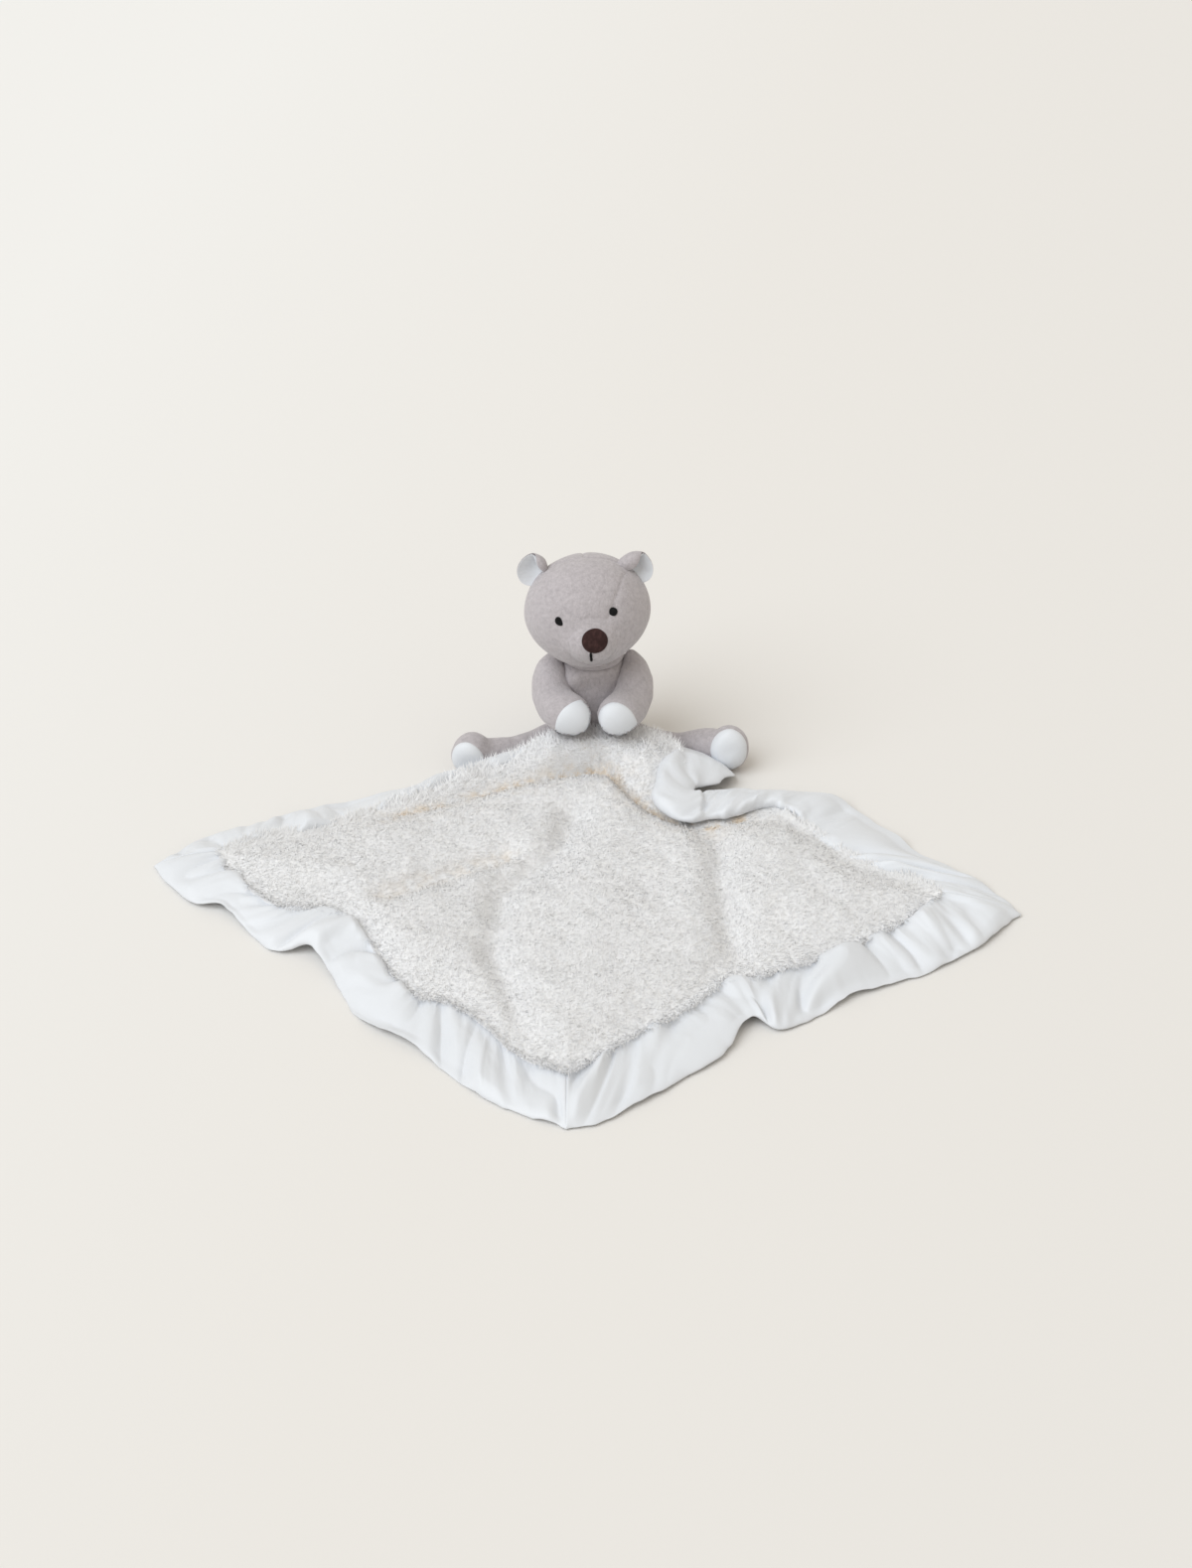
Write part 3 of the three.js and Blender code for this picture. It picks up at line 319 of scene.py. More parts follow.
# Panels laid on a surface, in millimetres: spokes and rings, how far the rim and the underside sink in,
# and from how far out the surface is looked for. Then the satin ones, in their middle and at their edge
PATCH_GRID = (64, 12)
PATCH_TUCK = 0.15
PATCH_DEPTH = 0.5
PATCH_CAST = 40
SATIN_PATCH = 0.7
SATIN_PATCH_EDGE = 0.25

# Arms and legs: how far they stay off the floor, where the cover turns from one body to the other, the
# brushes, and the satin on the end, all in millimetres, with the oval that it is cut from in metres
LIMB_LOWEST = 0.3
ARMS = {
    "left": {
        "blend": ((-17, 1, 53), (-26, -14, 44)),
        "brushes": [((-20, 1, 60), 12, (0.5, 0, 3.5), 0.6), ((-13, -34, 44), 18, (2.2, 0, 0), 1.0),
                    ((-11, -47, 42), 20, (3.2, 1.6, -2.6), 0.7)],
        "place": (-9.4, -46, 41.0), "facing": (0.0, -0.85, 0.5), "up": (0.6, 0, 1),
        "radii": [10.8, 12.2, 15.4, 14.8, 12.0, 11.4, 12.2, 15.6, 14.4, 11.4],
        "cut": (0.026, 0.03),
    },
    "right": {
        "blend": ((17, 1, 53), (26, -14, 44)),
        "brushes": [((20, 1, 60), 12, (0, 0, 4.5), 0.8), ((16, -34, 43), 18, (0.6, 0, -0.5), 1.6),
                    ((14, -47, 41), 18, (-1.2, 1.6, -2.6), 0.5)],
        "place": (14.0, -46, 39.8), "facing": (-0.1, -0.85, 0.5), "up": (-0.5, 0, 1),
        "radii": [11.6, 12.4, 14.0, 13.5, 11.6, 11.6, 12.4, 14.6, 14.0, 12.0],
        "cut": (0.026, 0.029),
    },
}
LEGS = {
    "left": {
        "blend": ((-12, -3, 11), (-33, -12, 10)),
        "brushes": [((-64, -27, 13), 24, (0, 0, 0.5), 2.6), ((-77, -45, 13), 13, (0.8, 2.4, 0), 0),
                    ((-47, -18, 10), 22, (0, -3, 0.8), 2.2), ((-77, -36, 15), 22, (0, -1, -3.2), 0)],
        "place": (-76.0, -43, 12.5), "facing": (-0.4, -0.88, 0.1), "up": (0, 0, 1),
        "radii": [10.0, 10.2, 10.8, 10.2, 9.6, 10.2, 10.8, 10.2],
        "cut": (0.023, 0.024),
    },
    "right": {
        "blend": ((12, -3, 11), (33, -12, 10)),
        "brushes": [((68, -25, 15), 24, (0, 0, 0.5), 2.6), ((81, -43, 19), 13, (0, 2.4, -0.8), 0),
                    ((82, -34, 15), 20, (0, -1, -1.5), 0.6)],
        "place": (80.0, -39, 17.5), "facing": (-0.15, -0.88, 0.4), "up": (0, 0, 1),
        "radii": [10.4, 11.6, 13.2, 11.8, 11.0, 12.0, 13.4, 11.6],
        "cut": (0.028, 0.029),
    },
}


# Number helpers

def smooth_line(points, count):
    """A smooth line through the points, in step with them."""
    points = np.asarray(points, float)
    ends = np.vstack([2 * points[0] - points[1], points, 2 * points[-1] - points[-2]])
    place = np.linspace(0, len(points) - 1, count)
    index = np.minimum(place.astype(int), len(points) - 2)
    t = (place - index)[:, None]
    before, here, there, after = (ends[index + k] for k in range(4))
    return 0.5 * (
        2 * here + (there - before) * t + (2 * before - 5 * here + 4 * there - after) * t**2
        + (3 * here - before - 3 * there + after) * t**3
    )


def eased(x):
    """From 0 to 1, with a soft start and a soft end."""
    x = np.clip(x, 0, 1)
    return x * x * (3 - 2 * x)


def lattice_noise(points, size, seed=0):
    """Smooth noise from -1 to 1, with lumps about size across."""
    scaled = np.asarray(points, float) / size + 1000.0
    cell = np.floor(scaled).astype(np.int64)
    part = scaled - cell
    part = part * part * (3 - 2 * part)
    total = np.zeros(len(scaled))
    for corner in range(8):
        offset = np.array([(corner >> k) & 1 for k in range(3)])
        at = cell + offset
        code = at[:, 0] * 374761393 + at[:, 1] * 668265263 + at[:, 2] * 1274126177 + seed * 97531
        code = (code ^ (code >> 13)) * 1103515245 & 0x7FFFFFFF
        value = ((code ^ (code >> 11)) & 0xFFFF) / 32767.5 - 1
        weight = np.prod(np.where(offset, part, 1 - part), axis=1)
        total += weight * value
    return total


def layered_noise(points, layers, seed=0):
    """A sum of noises, each given by its height, the size of its lumps and its own seed."""
    return sum(height * lattice_noise(points, size, seed + own) for height, size, own in layers)


def unit_rows(vectors):
    """Each row brought to a length of 1."""
    return vectors / np.maximum(np.linalg.norm(vectors, axis=1, keepdims=True), 1e-9)


# Mesh helpers. They take points in millimetres and store them in metres.

def mesh_object(name, points, faces, smooth=True):
    """A new object in the scene, from points in millimetres."""
    mesh = bpy.data.meshes.new(name)
    mesh.from_pydata((np.asarray(points) * MM).tolist(), [], [list(face) for face in faces])
    mesh.validate()
    mesh.polygons.foreach_set("use_smooth", [smooth] * len(mesh.polygons))
    mesh.update()
    piece = bpy.data.objects.new(name, mesh)
    bpy.context.scene.collection.objects.link(piece)
    return piece


def grid_faces(columns, rows, wrap=False, first=0):
    """Faces between the points of a grid that was listed row by row within each column."""
    count = columns if wrap else columns - 1
    column = np.arange(count)[:, None]
    row = np.arange(rows - 1)[None, :]
    beyond = (column + 1) % columns
    quads = np.stack([
        column * rows + row, beyond * rows + row, beyond * rows + row + 1, column * rows + row + 1,
    ], axis=-1)
    return (quads.reshape(-1, 4) + first).tolist()


def closed_sheet(top, under, columns, rows):
    """Points and faces of a thin closed body between two like grids."""
    count = columns * rows
    faces = grid_faces(columns, rows)
    faces += [face[::-1] for face in grid_faces(columns, rows, first=count)]
    rim = [c * rows for c in range(columns - 1)]
    rim += [(columns - 1) * rows + r for r in range(rows - 1)]
    rim += [c * rows + rows - 1 for c in range(columns - 1, 0, -1)]
    rim += list(range(rows - 1, 0, -1))
    for k, here in enumerate(rim):
        there = rim[(k + 1) % len(rim)]
        faces.append([here, count + here, count + there, there])
    return np.vstack([top, under]), faces


def closed_disc_faces(spokes, rings):
    """Faces of a thin closed disc of two like layers, each listed ring by ring within each spoke."""
    count = spokes * rings
    faces = grid_faces(spokes, rings, wrap=True)
    faces += [face[::-1] for face in grid_faces(spokes, rings, wrap=True, first=count)]
    for spoke in range(spokes):
        here = spoke * rings + rings - 1
        there = (spoke + 1) % spokes * rings + rings - 1
        faces.append([here, there, count + there, count + here])
    inner = [spoke * rings for spoke in range(spokes)]
    return faces + [inner[::-1], [count + k for k in inner]]


def ball(columns, rows, margin):
    """Points of a unit ball, listed from pole to pole within each column, and its faces.

    The margin is the angle left out round each pole, which one flat face closes.
    """
    turn = np.linspace(0, 2 * math.pi, columns, endpoint=False)
    lift = np.linspace(margin, math.pi - margin, rows)
    turn, lift = (grid.ravel() for grid in np.meshgrid(turn, lift, indexing="ij"))
    unit = np.stack([np.sin(lift) * np.cos(turn), np.sin(lift) * np.sin(turn), np.cos(lift)], axis=1)
    faces = [face[::-1] for face in grid_faces(columns, rows, wrap=True)]
    faces.append([k * rows for k in range(columns)])
    faces.append([k * rows + rows - 1 for k in range(columns - 1, -1, -1)])
    return unit, faces


def apply_modifiers(piece):
    """Swaps a piece's mesh for the one that its modifiers make."""
    graph = bpy.context.evaluated_depsgraph_get()
    mesh = bpy.data.meshes.new_from_object(piece.evaluated_get(graph))
    piece.modifiers.clear()
    piece.data = mesh


def subdivide(piece):
    """Rounds a piece off with one step of subdivision."""
    modifier = piece.modifiers.new("finer", "SUBSURF")
    modifier.levels = modifier.render_levels = 1
    apply_modifiers(piece)
    piece.data.polygons.foreach_set("use_smooth", [True] * len(piece.data.polygons))


def mesh_points(piece):
    """A piece's points, in millimetres."""
    points = np.empty(len(piece.data.vertices) * 3)
    piece.data.vertices.foreach_get("co", points)
    return points.reshape(-1, 3) / MM


def mesh_normals(piece):
    """The normals at a piece's points."""
    normals = np.empty(len(piece.data.vertices) * 3)
    piece.data.vertices.foreach_get("normal", normals)
    return normals.reshape(-1, 3)


def set_points(piece, points):
    """Moves a piece's points to new places, in millimetres."""
    piece.data.vertices.foreach_set("co", (points * MM).ravel())
    piece.data.update()


def surface_tree(*pieces):
    """A search tree of the pieces' faces, in millimetres."""
    points, faces = [], []
    for piece in pieces:
        first = len(points)
        points += [Vector(point) for point in mesh_points(piece)]
        faces += [[first + v for v in polygon.vertices] for polygon in piece.data.polygons]
    return BVHTree.FromPolygons(points, faces)


def dress(piece, slot, nodes=()):
    """Gives a piece its slot's finish, in place of the CAD nodes it stands for."""
    piece.data.materials.clear()
    piece.data.materials.append(material(slot))
    if nodes:
        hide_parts(*nodes)


def finish_piece(piece, body, slot, nodes=()):
    """Dresses a piece that moves with one body."""
    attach(piece, body)
    dress(piece, slot, nodes)


# Materials

class Finish:
    """A node material under construction."""

    def __init__(self, name):
        self.material = bpy.data.materials.new(name)
        self.material.use_nodes = True
        self.tree = self.material.node_tree
        self.shader = self.tree.nodes["Principled BSDF"]
        self.place = self.node("ShaderNodeTexCoord").outputs["Object"]

    def node(self, kind, inputs=(), **values):
        """Adds a node, with values for its inputs by name and its own settings."""
        made = self.tree.nodes.new(kind)
        for key, value in dict(inputs).items():
            made.inputs[key].default_value = value
        for key, value in values.items():
            setattr(made, key, value)
        return made

    def link(self, output, target):
        self.tree.links.new(output, target)

    def stretched(self, scale):
        """The object's coordinates, scaled along each axis."""
        mapping = self.node("ShaderNodeMapping", {"Scale": scale})
        self.link(self.place, mapping.inputs["Vector"])
        return mapping.outputs["Vector"]

    def noise(self, scale, detail=3.0, roughness=0.55, stretch=None):
        """Noise in the object's own metres, so the scale is in lumps for each metre."""
        made = self.node("ShaderNodeTexNoise", {"Scale": scale, "Detail": detail, "Roughness": roughness})
        self.link(self.stretched(stretch) if stretch else self.place, made.inputs["Vector"])
        return made.outputs["Fac"]

    def ramp(self, fac, stops):
        """Colours between the stops, each a place from 0 to 1 and its colour."""
        made = self.node("ShaderNodeValToRGB")
        elements = made.color_ramp.elements
        for k, (place, colour) in enumerate(stops):
            element = elements[k] if k < 2 else elements.new(place)
            element.position = place
            element.color = (*colour, 1)
        self.link(fac, made.inputs["Fac"])
        return made.outputs["Color"]

    def tinted(self, base, share, colour):
        """Mixes a colour into the base by a share that the piece's points carry."""
        held = self.node("ShaderNodeAttribute", attribute_name=share)
        mix = self.node("ShaderNodeMix", data_type="RGBA")
        # Inputs 6 and 7 are the two colours, and output 2 is the mixed one
        self.link(held.outputs["Fac"], mix.inputs["Factor"])
        self.link(base, mix.inputs[6])
        mix.inputs[7].default_value = (*colour, 1)
        return mix.outputs[2]

    def colour_from(self, output):
        """Takes the base colour from an output."""
        self.link(output, self.shader.inputs["Base Color"])

    def bump(self, layers):
        """Adds bumps: each layer is a height output, its depth in metres, and its strength."""
        normal = None
        for height, depth, strength in layers:
            made = self.node("ShaderNodeBump", {"Distance": depth, "Strength": strength})
            self.link(height, made.inputs["Height"])
            if normal:
                self.link(normal, made.inputs["Normal"])
            normal = made.outputs["Normal"]
        self.link(normal, self.shader.inputs["Normal"])

    def settings(self, **values):
        """Sets the shader's inputs, and gives back the finished material."""
        for key, value in values.items():
            self.shader.inputs[key.replace("_", " ")].default_value = value
        return self.material


def shade(colour, factor):
    """A colour made darker or lighter."""
    return tuple(min(1.0, part * factor) for part in colour)


def plush_finish(name, colour):
    """Short brushed pile: soft mottling, combed streaks and a pale sheen."""
    finish = Finish(name)
    mottle = finish.noise(420, 5, 0.75)
    finish.colour_from(finish.ramp(mottle, [
        (0.3, shade(colour, 0.82)), (0.5, colour), (0.7, shade(colour, 1.15)),
    ]))
    finish.bump([
        (finish.noise(190, 3, 0.6), 0.0015, 0.3),
        (finish.noise(800, 3, 0.7, (1, 1, 0.4)), 0.0007, 0.8),
    ])
    return finish.settings(Roughness=0.95, Sheen_Weight=0.35, Sheen_Roughness=0.5, Specular_IOR_Level=0.15)


def satin_finish(name, colour):
    """Polyester satin: a soft gloss over a fine twill."""
    finish = Finish(name)
    cloud = finish.noise(14, 2, 0.5)
    finish.colour_from(finish.ramp(cloud, [(0.25, shade(colour, 0.965)), (0.75, shade(colour, 1.02))]))
    twill = finish.node("ShaderNodeTexWave", {"Scale": 900, "Distortion": 0.6}, bands_direction="DIAGONAL")
    finish.link(finish.place, twill.inputs["Vector"])
    finish.bump([
        (finish.noise(70, 3, 0.5), 0.0014, 0.22),
        (twill.outputs["Fac"], 0.00012, 0.25),
    ])
    return finish.settings(Roughness=0.42, Sheen_Weight=0.1, Specular_IOR_Level=0.4)


def fleece_finish(name, colour):
    """Long curly pile, with painted warm shade along the roll's crease and the dent, and painted light along
    the crest of the roll.
    """
    finish = Finish(name)
    curl = finish.noise(900, 3, 0.65)
    warm = (colour[0] * 0.975, colour[1] * 0.965, colour[2] * 0.945)
    pale = finish.ramp(curl, [(0.3, warm), (0.5, colour), (0.7, shade(colour, 1.03))])
    # Painted warm shade along the crease and the dent
    crease_shaded = finish.tinted(pale, "painted_shade", CREASE_SHADE_COLOUR)
    # Painted light along the crest of the roll
    finish.colour_from(finish.tinted(crease_shaded, "painted_crest_light", shade(colour, 1.08)))
    finish.bump([(finish.noise(600, 4, 0.7), 0.0006, 0.3)])
    return finish.settings(Roughness=1.0, Sheen_Weight=0.25, Sheen_Roughness=0.4, Specular_IOR_Level=0.1)


def velour_finish(name, colour):
    """Dark velour with a faint brushed light across it."""
    finish = Finish(name)
    brushed = finish.noise(380, 4, 0.7)
    finish.colour_from(finish.ramp(brushed, [
        (0.3, shade(colour, 0.7)), (0.52, colour), (0.75, shade(colour, 1.9)),
    ]))
    finish.bump([(finish.noise(1100, 3, 0.7), 0.0005, 0.7)])
    return finish.settings(Roughness=0.9, Sheen_Weight=0.1, Sheen_Roughness=0.4, Specular_IOR_Level=0.12)


def thread_finish(name, colour):
    """Closely laid embroidery thread, ridged across its length."""
    finish = Finish(name)
    strands = finish.noise(1500, 2, 0.5, (1, 0.2, 0.35))
    finish.colour_from(finish.ramp(strands, [(0.35, shade(colour, 0.6)), (0.65, shade(colour, 1.8))]))
    finish.bump([(strands, 0.0004, 0.8)])
    return finish.settings(Roughness=0.6, Specular_IOR_Level=0.12)


def backing_finish(name, colour):
    """Smooth lining cloth with a plain weave."""
    finish = Finish(name)
    finish.colour_from(finish.ramp(finish.noise(30), [(0.3, shade(colour, 0.95)), (0.7, colour)]))
    finish.bump([(finish.noise(1400, 2, 0.6), 0.0002, 0.4)])
    return finish.settings(Roughness=0.8, Specular_IOR_Level=0.25)


MATERIALS = {}


def material(slot):
    """The material of one slot, made once from the colours in the sidebar."""
    if slot not in MATERIALS:
        colours = bpy.context.scene.lovey_colours
        makers = {
            "plush": (plush_finish, colours.plush),
            "satin": (satin_finish, colours.satin),
            "fleece": (fleece_finish, colours.fleece),
            "nose_velour": (velour_finish, colours.nose),
            "thread": (thread_finish, colours.thread),
            "backing": (backing_finish, colours.backing),
        }
        maker, colour = makers[slot]
        MATERIALS[slot] = maker(slot, tuple(colour))
    return MATERIALS[slot]


# Blanket surfaces

def side_lines(shares, step):
    """The hem and the seam along one side, in step with each other, about step apart."""
    scale = np.array([HALF_SPREAD, HALF_SPREAD, FOLD_HEIGHT] * 2)
    rows = np.array(shares, float) * scale
    dense = smooth_line(rows, 40 * len(rows))
    middle = (dense[:, :3] + dense[:, 3:]) / 2
    moved = np.linalg.norm(np.diff(middle, axis=0), axis=1)
    moved += 0.35 * np.linalg.norm(np.diff(dense[:, :3], axis=0), axis=1)
    reach = np.concatenate([[0], np.cumsum(moved)])
    count = int(reach[-1] / step)
    at = np.linspace(0, reach[-1], count)
    lines = np.stack([np.interp(at, reach, dense[:, k]) for k in range(6)], axis=1)
    return lines[:, :3], lines[:, 3:]


def panel_edge(sides):
    """The fleece panel's edge, just inside the seams, sorted from left to right."""
    rows = []
    for shares in sides:
        hem, seam = side_lines(shares, 3.0)
        inward = seam - hem
        inward[:, 2] = 0
        rows.append((seam - unit_rows(inward) * PANEL_OVERLAP)[:, :2])
    rows = np.vstack(rows)
    return rows[np.argsort(rows[:, 0])]


def panel_edges():
    """The panel's back and front edges. The back one runs under the fold, where the strip covers it."""
    covered = BACK_RIGHT_SHARES[:COVERED_ROWS]
    back = panel_edge([BACK_LEFT_SHARES, covered])
    limit = covered[-1][4] * HALF_SPREAD
    back = back[(back[:, 0] < 0) | (back[:, 1] < limit)]
    back = np.vstack([back, np.array(COVERED_EDGE_SHARES) * HALF_SPREAD])
    back = back[np.argsort(back[:, 0])]
    return back, panel_edge([FRONT_LEFT_SHARES, FRONT_RIGHT_SHARES])


def line_distance(points, start, end):
    """Distance of each point from a straight line between two places."""
    start, end = np.array(start), np.array(end)
    along = np.clip((points - start) @ (end - start) / ((end - start) @ (end - start)), 0, 1)
    return np.linalg.norm(points - (start + along[:, None] * (end - start)), axis=1)


def route_distance(points, route):
    """Distance of each point from the nearest line of a route."""
    nearest = np.full(len(points), 1e9)
    for start, end in zip(route[:-1], route[1:]):
        nearest = np.minimum(nearest, line_distance(points, start, end))
    return nearest


def fleece_height(x, y, fade):
    """Height of the panel's upper face above the floor."""
    flat = BACKING_THICKNESS + LAYER_GAP + FLEECE_THICKNESS
    places = np.stack([x, y], axis=1)
    valley = np.zeros(len(x))
    for route in VALLEY_SHARES:
        distance = route_distance(places, np.array(route) * HALF_SPREAD) / VALLEY_WIDTH
        valley = np.maximum(valley, np.exp(-distance**VALLEY_SHARPNESS))
    mound = np.linalg.norm(places - np.array(MOUND_SHARES) * HALF_SPREAD, axis=1) / MOUND_WIDTH
    panel = flat + SWELL_HEIGHT * fade * (1 - valley) + MOUND_HEIGHT * np.exp(-mound**2)
    across = x / HALF_SPREAD
    crest_y, crest_z, crease_y, crease_z = (
        np.interp(across, ROLL_SHARES[:, 0], ROLL_SHARES[:, k]) for k in range(1, 5)
    )
    front = crease_y * HALF_SPREAD - y
    rise = 1 - np.exp(-np.maximum(front, 0) / CREASE_LIP)
    before = crease_z * FOLD_HEIGHT * (1 - rise) + panel * rise
    climb = np.clip(-front / ((crest_y - crease_y) * HALF_SPREAD), 0, 1)
    lift = 0.6 * np.sin(climb * math.pi / 2) + 0.4 * eased(climb)
    behind = FOLD_HEIGHT * (crease_z + (crest_z - crease_z) * lift)
    return np.where(front > 0, before, behind)


def panel_places(columns, rows):
    """Places over the panel, how far inside its edge each lies, and the way to that edge."""
    back, front = panel_edges()
    low = max(back[0, 0], front[0, 0])
    high = min(back[-1, 0], front[-1, 0])
    sweep = np.linspace(-1, 1, columns)
    x = (low + high) / 2 + (high - low) / 2 * PANEL_REACH * np.sign(sweep) * np.abs(sweep) ** COLUMN_SPREAD
    near = np.interp(x, front[:, 0], front[:, 1])
    far = np.interp(x, back[:, 0], back[:, 1])
    depth = 1 - (1 - np.linspace(0, 1, rows)) ** ROW_GATHER
    y = near[:, None] + (far - near)[:, None] * depth[None, :]
    x = np.repeat(x[:, None], rows, axis=1)
    room = np.stack([x - low, high - x, (y - near[:, None]) * EDGE_SLANT, (far[:, None] - y) * EDGE_SLANT])
    ways = np.array([(-1, 0), (1, 0), (0, -1), (0, 1)])
    return x.ravel(), y.ravel(), room.min(axis=0).ravel(), ways[room.argmin(axis=0).ravel()]


def fleece_surface(columns, rows):
    """Points of the panel's upper face, with each one's distance from the edge and the way to it."""
    x, y, room, ways = panel_places(columns, rows)
    fade = eased(room / EDGE_SWELL)
    z = fleece_height(x, y, fade)
    flat = np.stack([x, y, np.zeros_like(x)], axis=1)
    z += fade * layered_noise(flat, PANEL_LUMPS)
    z += EDGE_LIFT * np.exp(-(room / EDGE_LIFT_WIDTH) ** 2)
    return np.stack([x, y, z], axis=1), room, ways


def border_relief(reach, across, share, seed):
    """Height of the gathers and folds of a satin strip at a distance along and across it."""
    flat = np.stack([reach, np.full_like(reach, seed * 50.0), np.zeros_like(reach)], axis=1)
    least, change, size = GATHER_SLANT
    slant = least + change * lattice_noise(flat, size, seed + 120)
    places = np.stack([reach + slant * across, across * 0.35, flat[:, 1]], axis=1)
    # Ridges start sharp at the seam, run slantwise towards the hem, and grow broader on the way
    fine = (1 - np.abs(lattice_noise(places, 4.2, seed))) ** 3 * (1 - share) ** 2
    middle = 1.3 * lattice_noise(places, 9, seed + 40) + np.abs(lattice_noise(places, 13, seed + 60)) ** 0.8
    broad = np.abs(lattice_noise(places, 22, seed + 80)) ** 0.8
    middle *= 1 - 0.4 * share
    return FINE_GATHER * fine + MIDDLE_GATHER * middle + BROAD_GATHER * broad - GATHER_LEVEL


def fold_crease(points):
    """Dip and step where the folded arm of the border lies over the other one."""
    route = np.array(CREASE_SHARES) * HALF_SPREAD
    nearest = route_distance(points[:, :2], route)
    middle = np.interp(-points[:, 1], -route[:, 1], route[:, 0])
    left = np.tanh((middle - points[:, 0]) / FOLD_STEP_WIDTH)
    beside = np.where(points[:, 0] > 0, np.exp(-nearest / FOLD_STEP_REACH), 0)
    return FOLD_STEP * left * beside - FOLD_DIP * np.exp(-(nearest / FOLD_DIP_WIDTH) ** 2)


def fold_calm(points):
    """Share of the gathers that is left where the border turns over on itself."""
    away = np.linalg.norm(points[:, :2] - np.array(FOLD_MIDDLE_SHARES) * HALF_SPREAD, axis=1)
    return 1 - FOLD_CALM * np.exp(-(away / FOLD_CALM_WIDTH) ** 2)


def border_piece(name, shares, seed):
    """A plump satin strip, gathered at its seam and mitred at its ends."""
    hem, seam = side_lines(shares, BORDER_STEP)
    hem[:, 2] = np.maximum(hem[:, 2] - HEM_DROP, HEM_LOWEST)
    count = len(hem)
    middle = (hem + seam) / 2
    reach = np.concatenate([[0], np.cumsum(np.linalg.norm(np.diff(middle, axis=0), axis=1))])
    along = unit_rows(np.gradient(hem, axis=0) + np.gradient(seam, axis=0))
    outward = unit_rows(hem - seam)
    up = unit_rows(np.cross(outward, along))
    up *= np.sign(up[:, 2:3] + 1e-9)
    width = np.linalg.norm(hem - seam, axis=1)
    ends = eased(reach / END_TAPER) * eased((reach[-1] - reach) / END_TAPER)
    flat = np.stack([reach, np.zeros(count), np.zeros(count)], axis=1)
    hem_ripple = layered_noise(flat, HEM_RIPPLE, seed)
    seam_ripple = layered_noise(flat, SEAM_RIPPLE, seed)
    lift = np.maximum(0, layered_noise(flat, HEM_LIFT, seed))
    top, under = [], []
    for step in range(BORDER_ROWS):
        # The way from the seam to the hem, in finer steps towards the hem, where the strip rolls under
        share = 1 - (1 - step / (BORDER_ROWS - 1)) ** 1.25
        # Thin at the seam, full across the middle and rounded off at the hem
        rise = min(1.0, 0.3 + share / 0.08) ** 0.5
        swell = rise * (1 - max(0.0, (share - 0.5) / 0.5) ** 2.4) ** 0.5
        gathers = border_relief(reach, width * share, share, seed) * ends
        gathers *= min(1.0, 0.3 + 5 * share) * min(1.0, 5 * (1 - share) + 0.2)
        shift = hem_ripple * share + seam_ripple * (1 - share) ** 3
        base = seam + (hem - seam) * share + outward * (shift * ends)[:, None]
        base[:, 2] += lift * ends * share**2
        height = swell * BORDER_THICKNESS / 2
        dome = BORDER_DOME * math.sin(math.pi * share**0.85)
        # This strip turns over on itself
        if "back_right" in name:
            gathers = gathers * fold_calm(base) + fold_crease(base)
        top.append(base + up * (height + 0.2 + (gathers + dome))[:, None])
        under.append(base - up * (height * 0.7 + 0.2))
    top = np.stack(top, axis=1)
    under = np.stack(under, axis=1)
    for grid in (top, under):
        grid[0] -= along[0] * MITRE_OVERLAP
        grid[-1] += along[-1] * MITRE_OVERLAP
    under[:, :, 2] = np.maximum(under[:, :, 2], SATIN_LOWEST)
    top[:, :, 2] = np.maximum(top[:, :, 2], under[:, :, 2] + SATIN_THINNEST)
    points, faces = closed_sheet(top.reshape(-1, 3), under.reshape(-1, 3), count, BORDER_ROWS)
    piece = mesh_object(name, points, faces)
    subdivide(piece)
    return piece, reach[-1], float(width.mean())


def painted_crease_shade(points):
    """Share of the painted warm shade on the pile: most along the roll's crease and the dent, in tufts."""
    route = ROLL_SHARES[:, [0, 3]] * HALF_SPREAD
    nearest = route_distance(points[:, :2], route)
    tufts = 0.35 + 0.8 * lattice_noise(points, TUFT_SIZE, 9)
    painted_shade = np.exp(-(nearest / WARM_LINE) ** 2) + 0.4 * np.exp(-nearest / WARM_REACH)
    dent = route_distance(points[:, :2], np.array(DENT_SHARES) * HALF_SPREAD)
    painted_shade += 0.3 * np.exp(-(dent / WARM_DENT) ** 2)
    return np.clip(painted_shade * tufts, 0, 1)


def set_share(piece, name, values):
    """Stores a share for each point, which the fleece's finish reads."""
    piece.data.attributes.new(name, "FLOAT", "POINT").data.foreach_set("value", values)


# Fibres

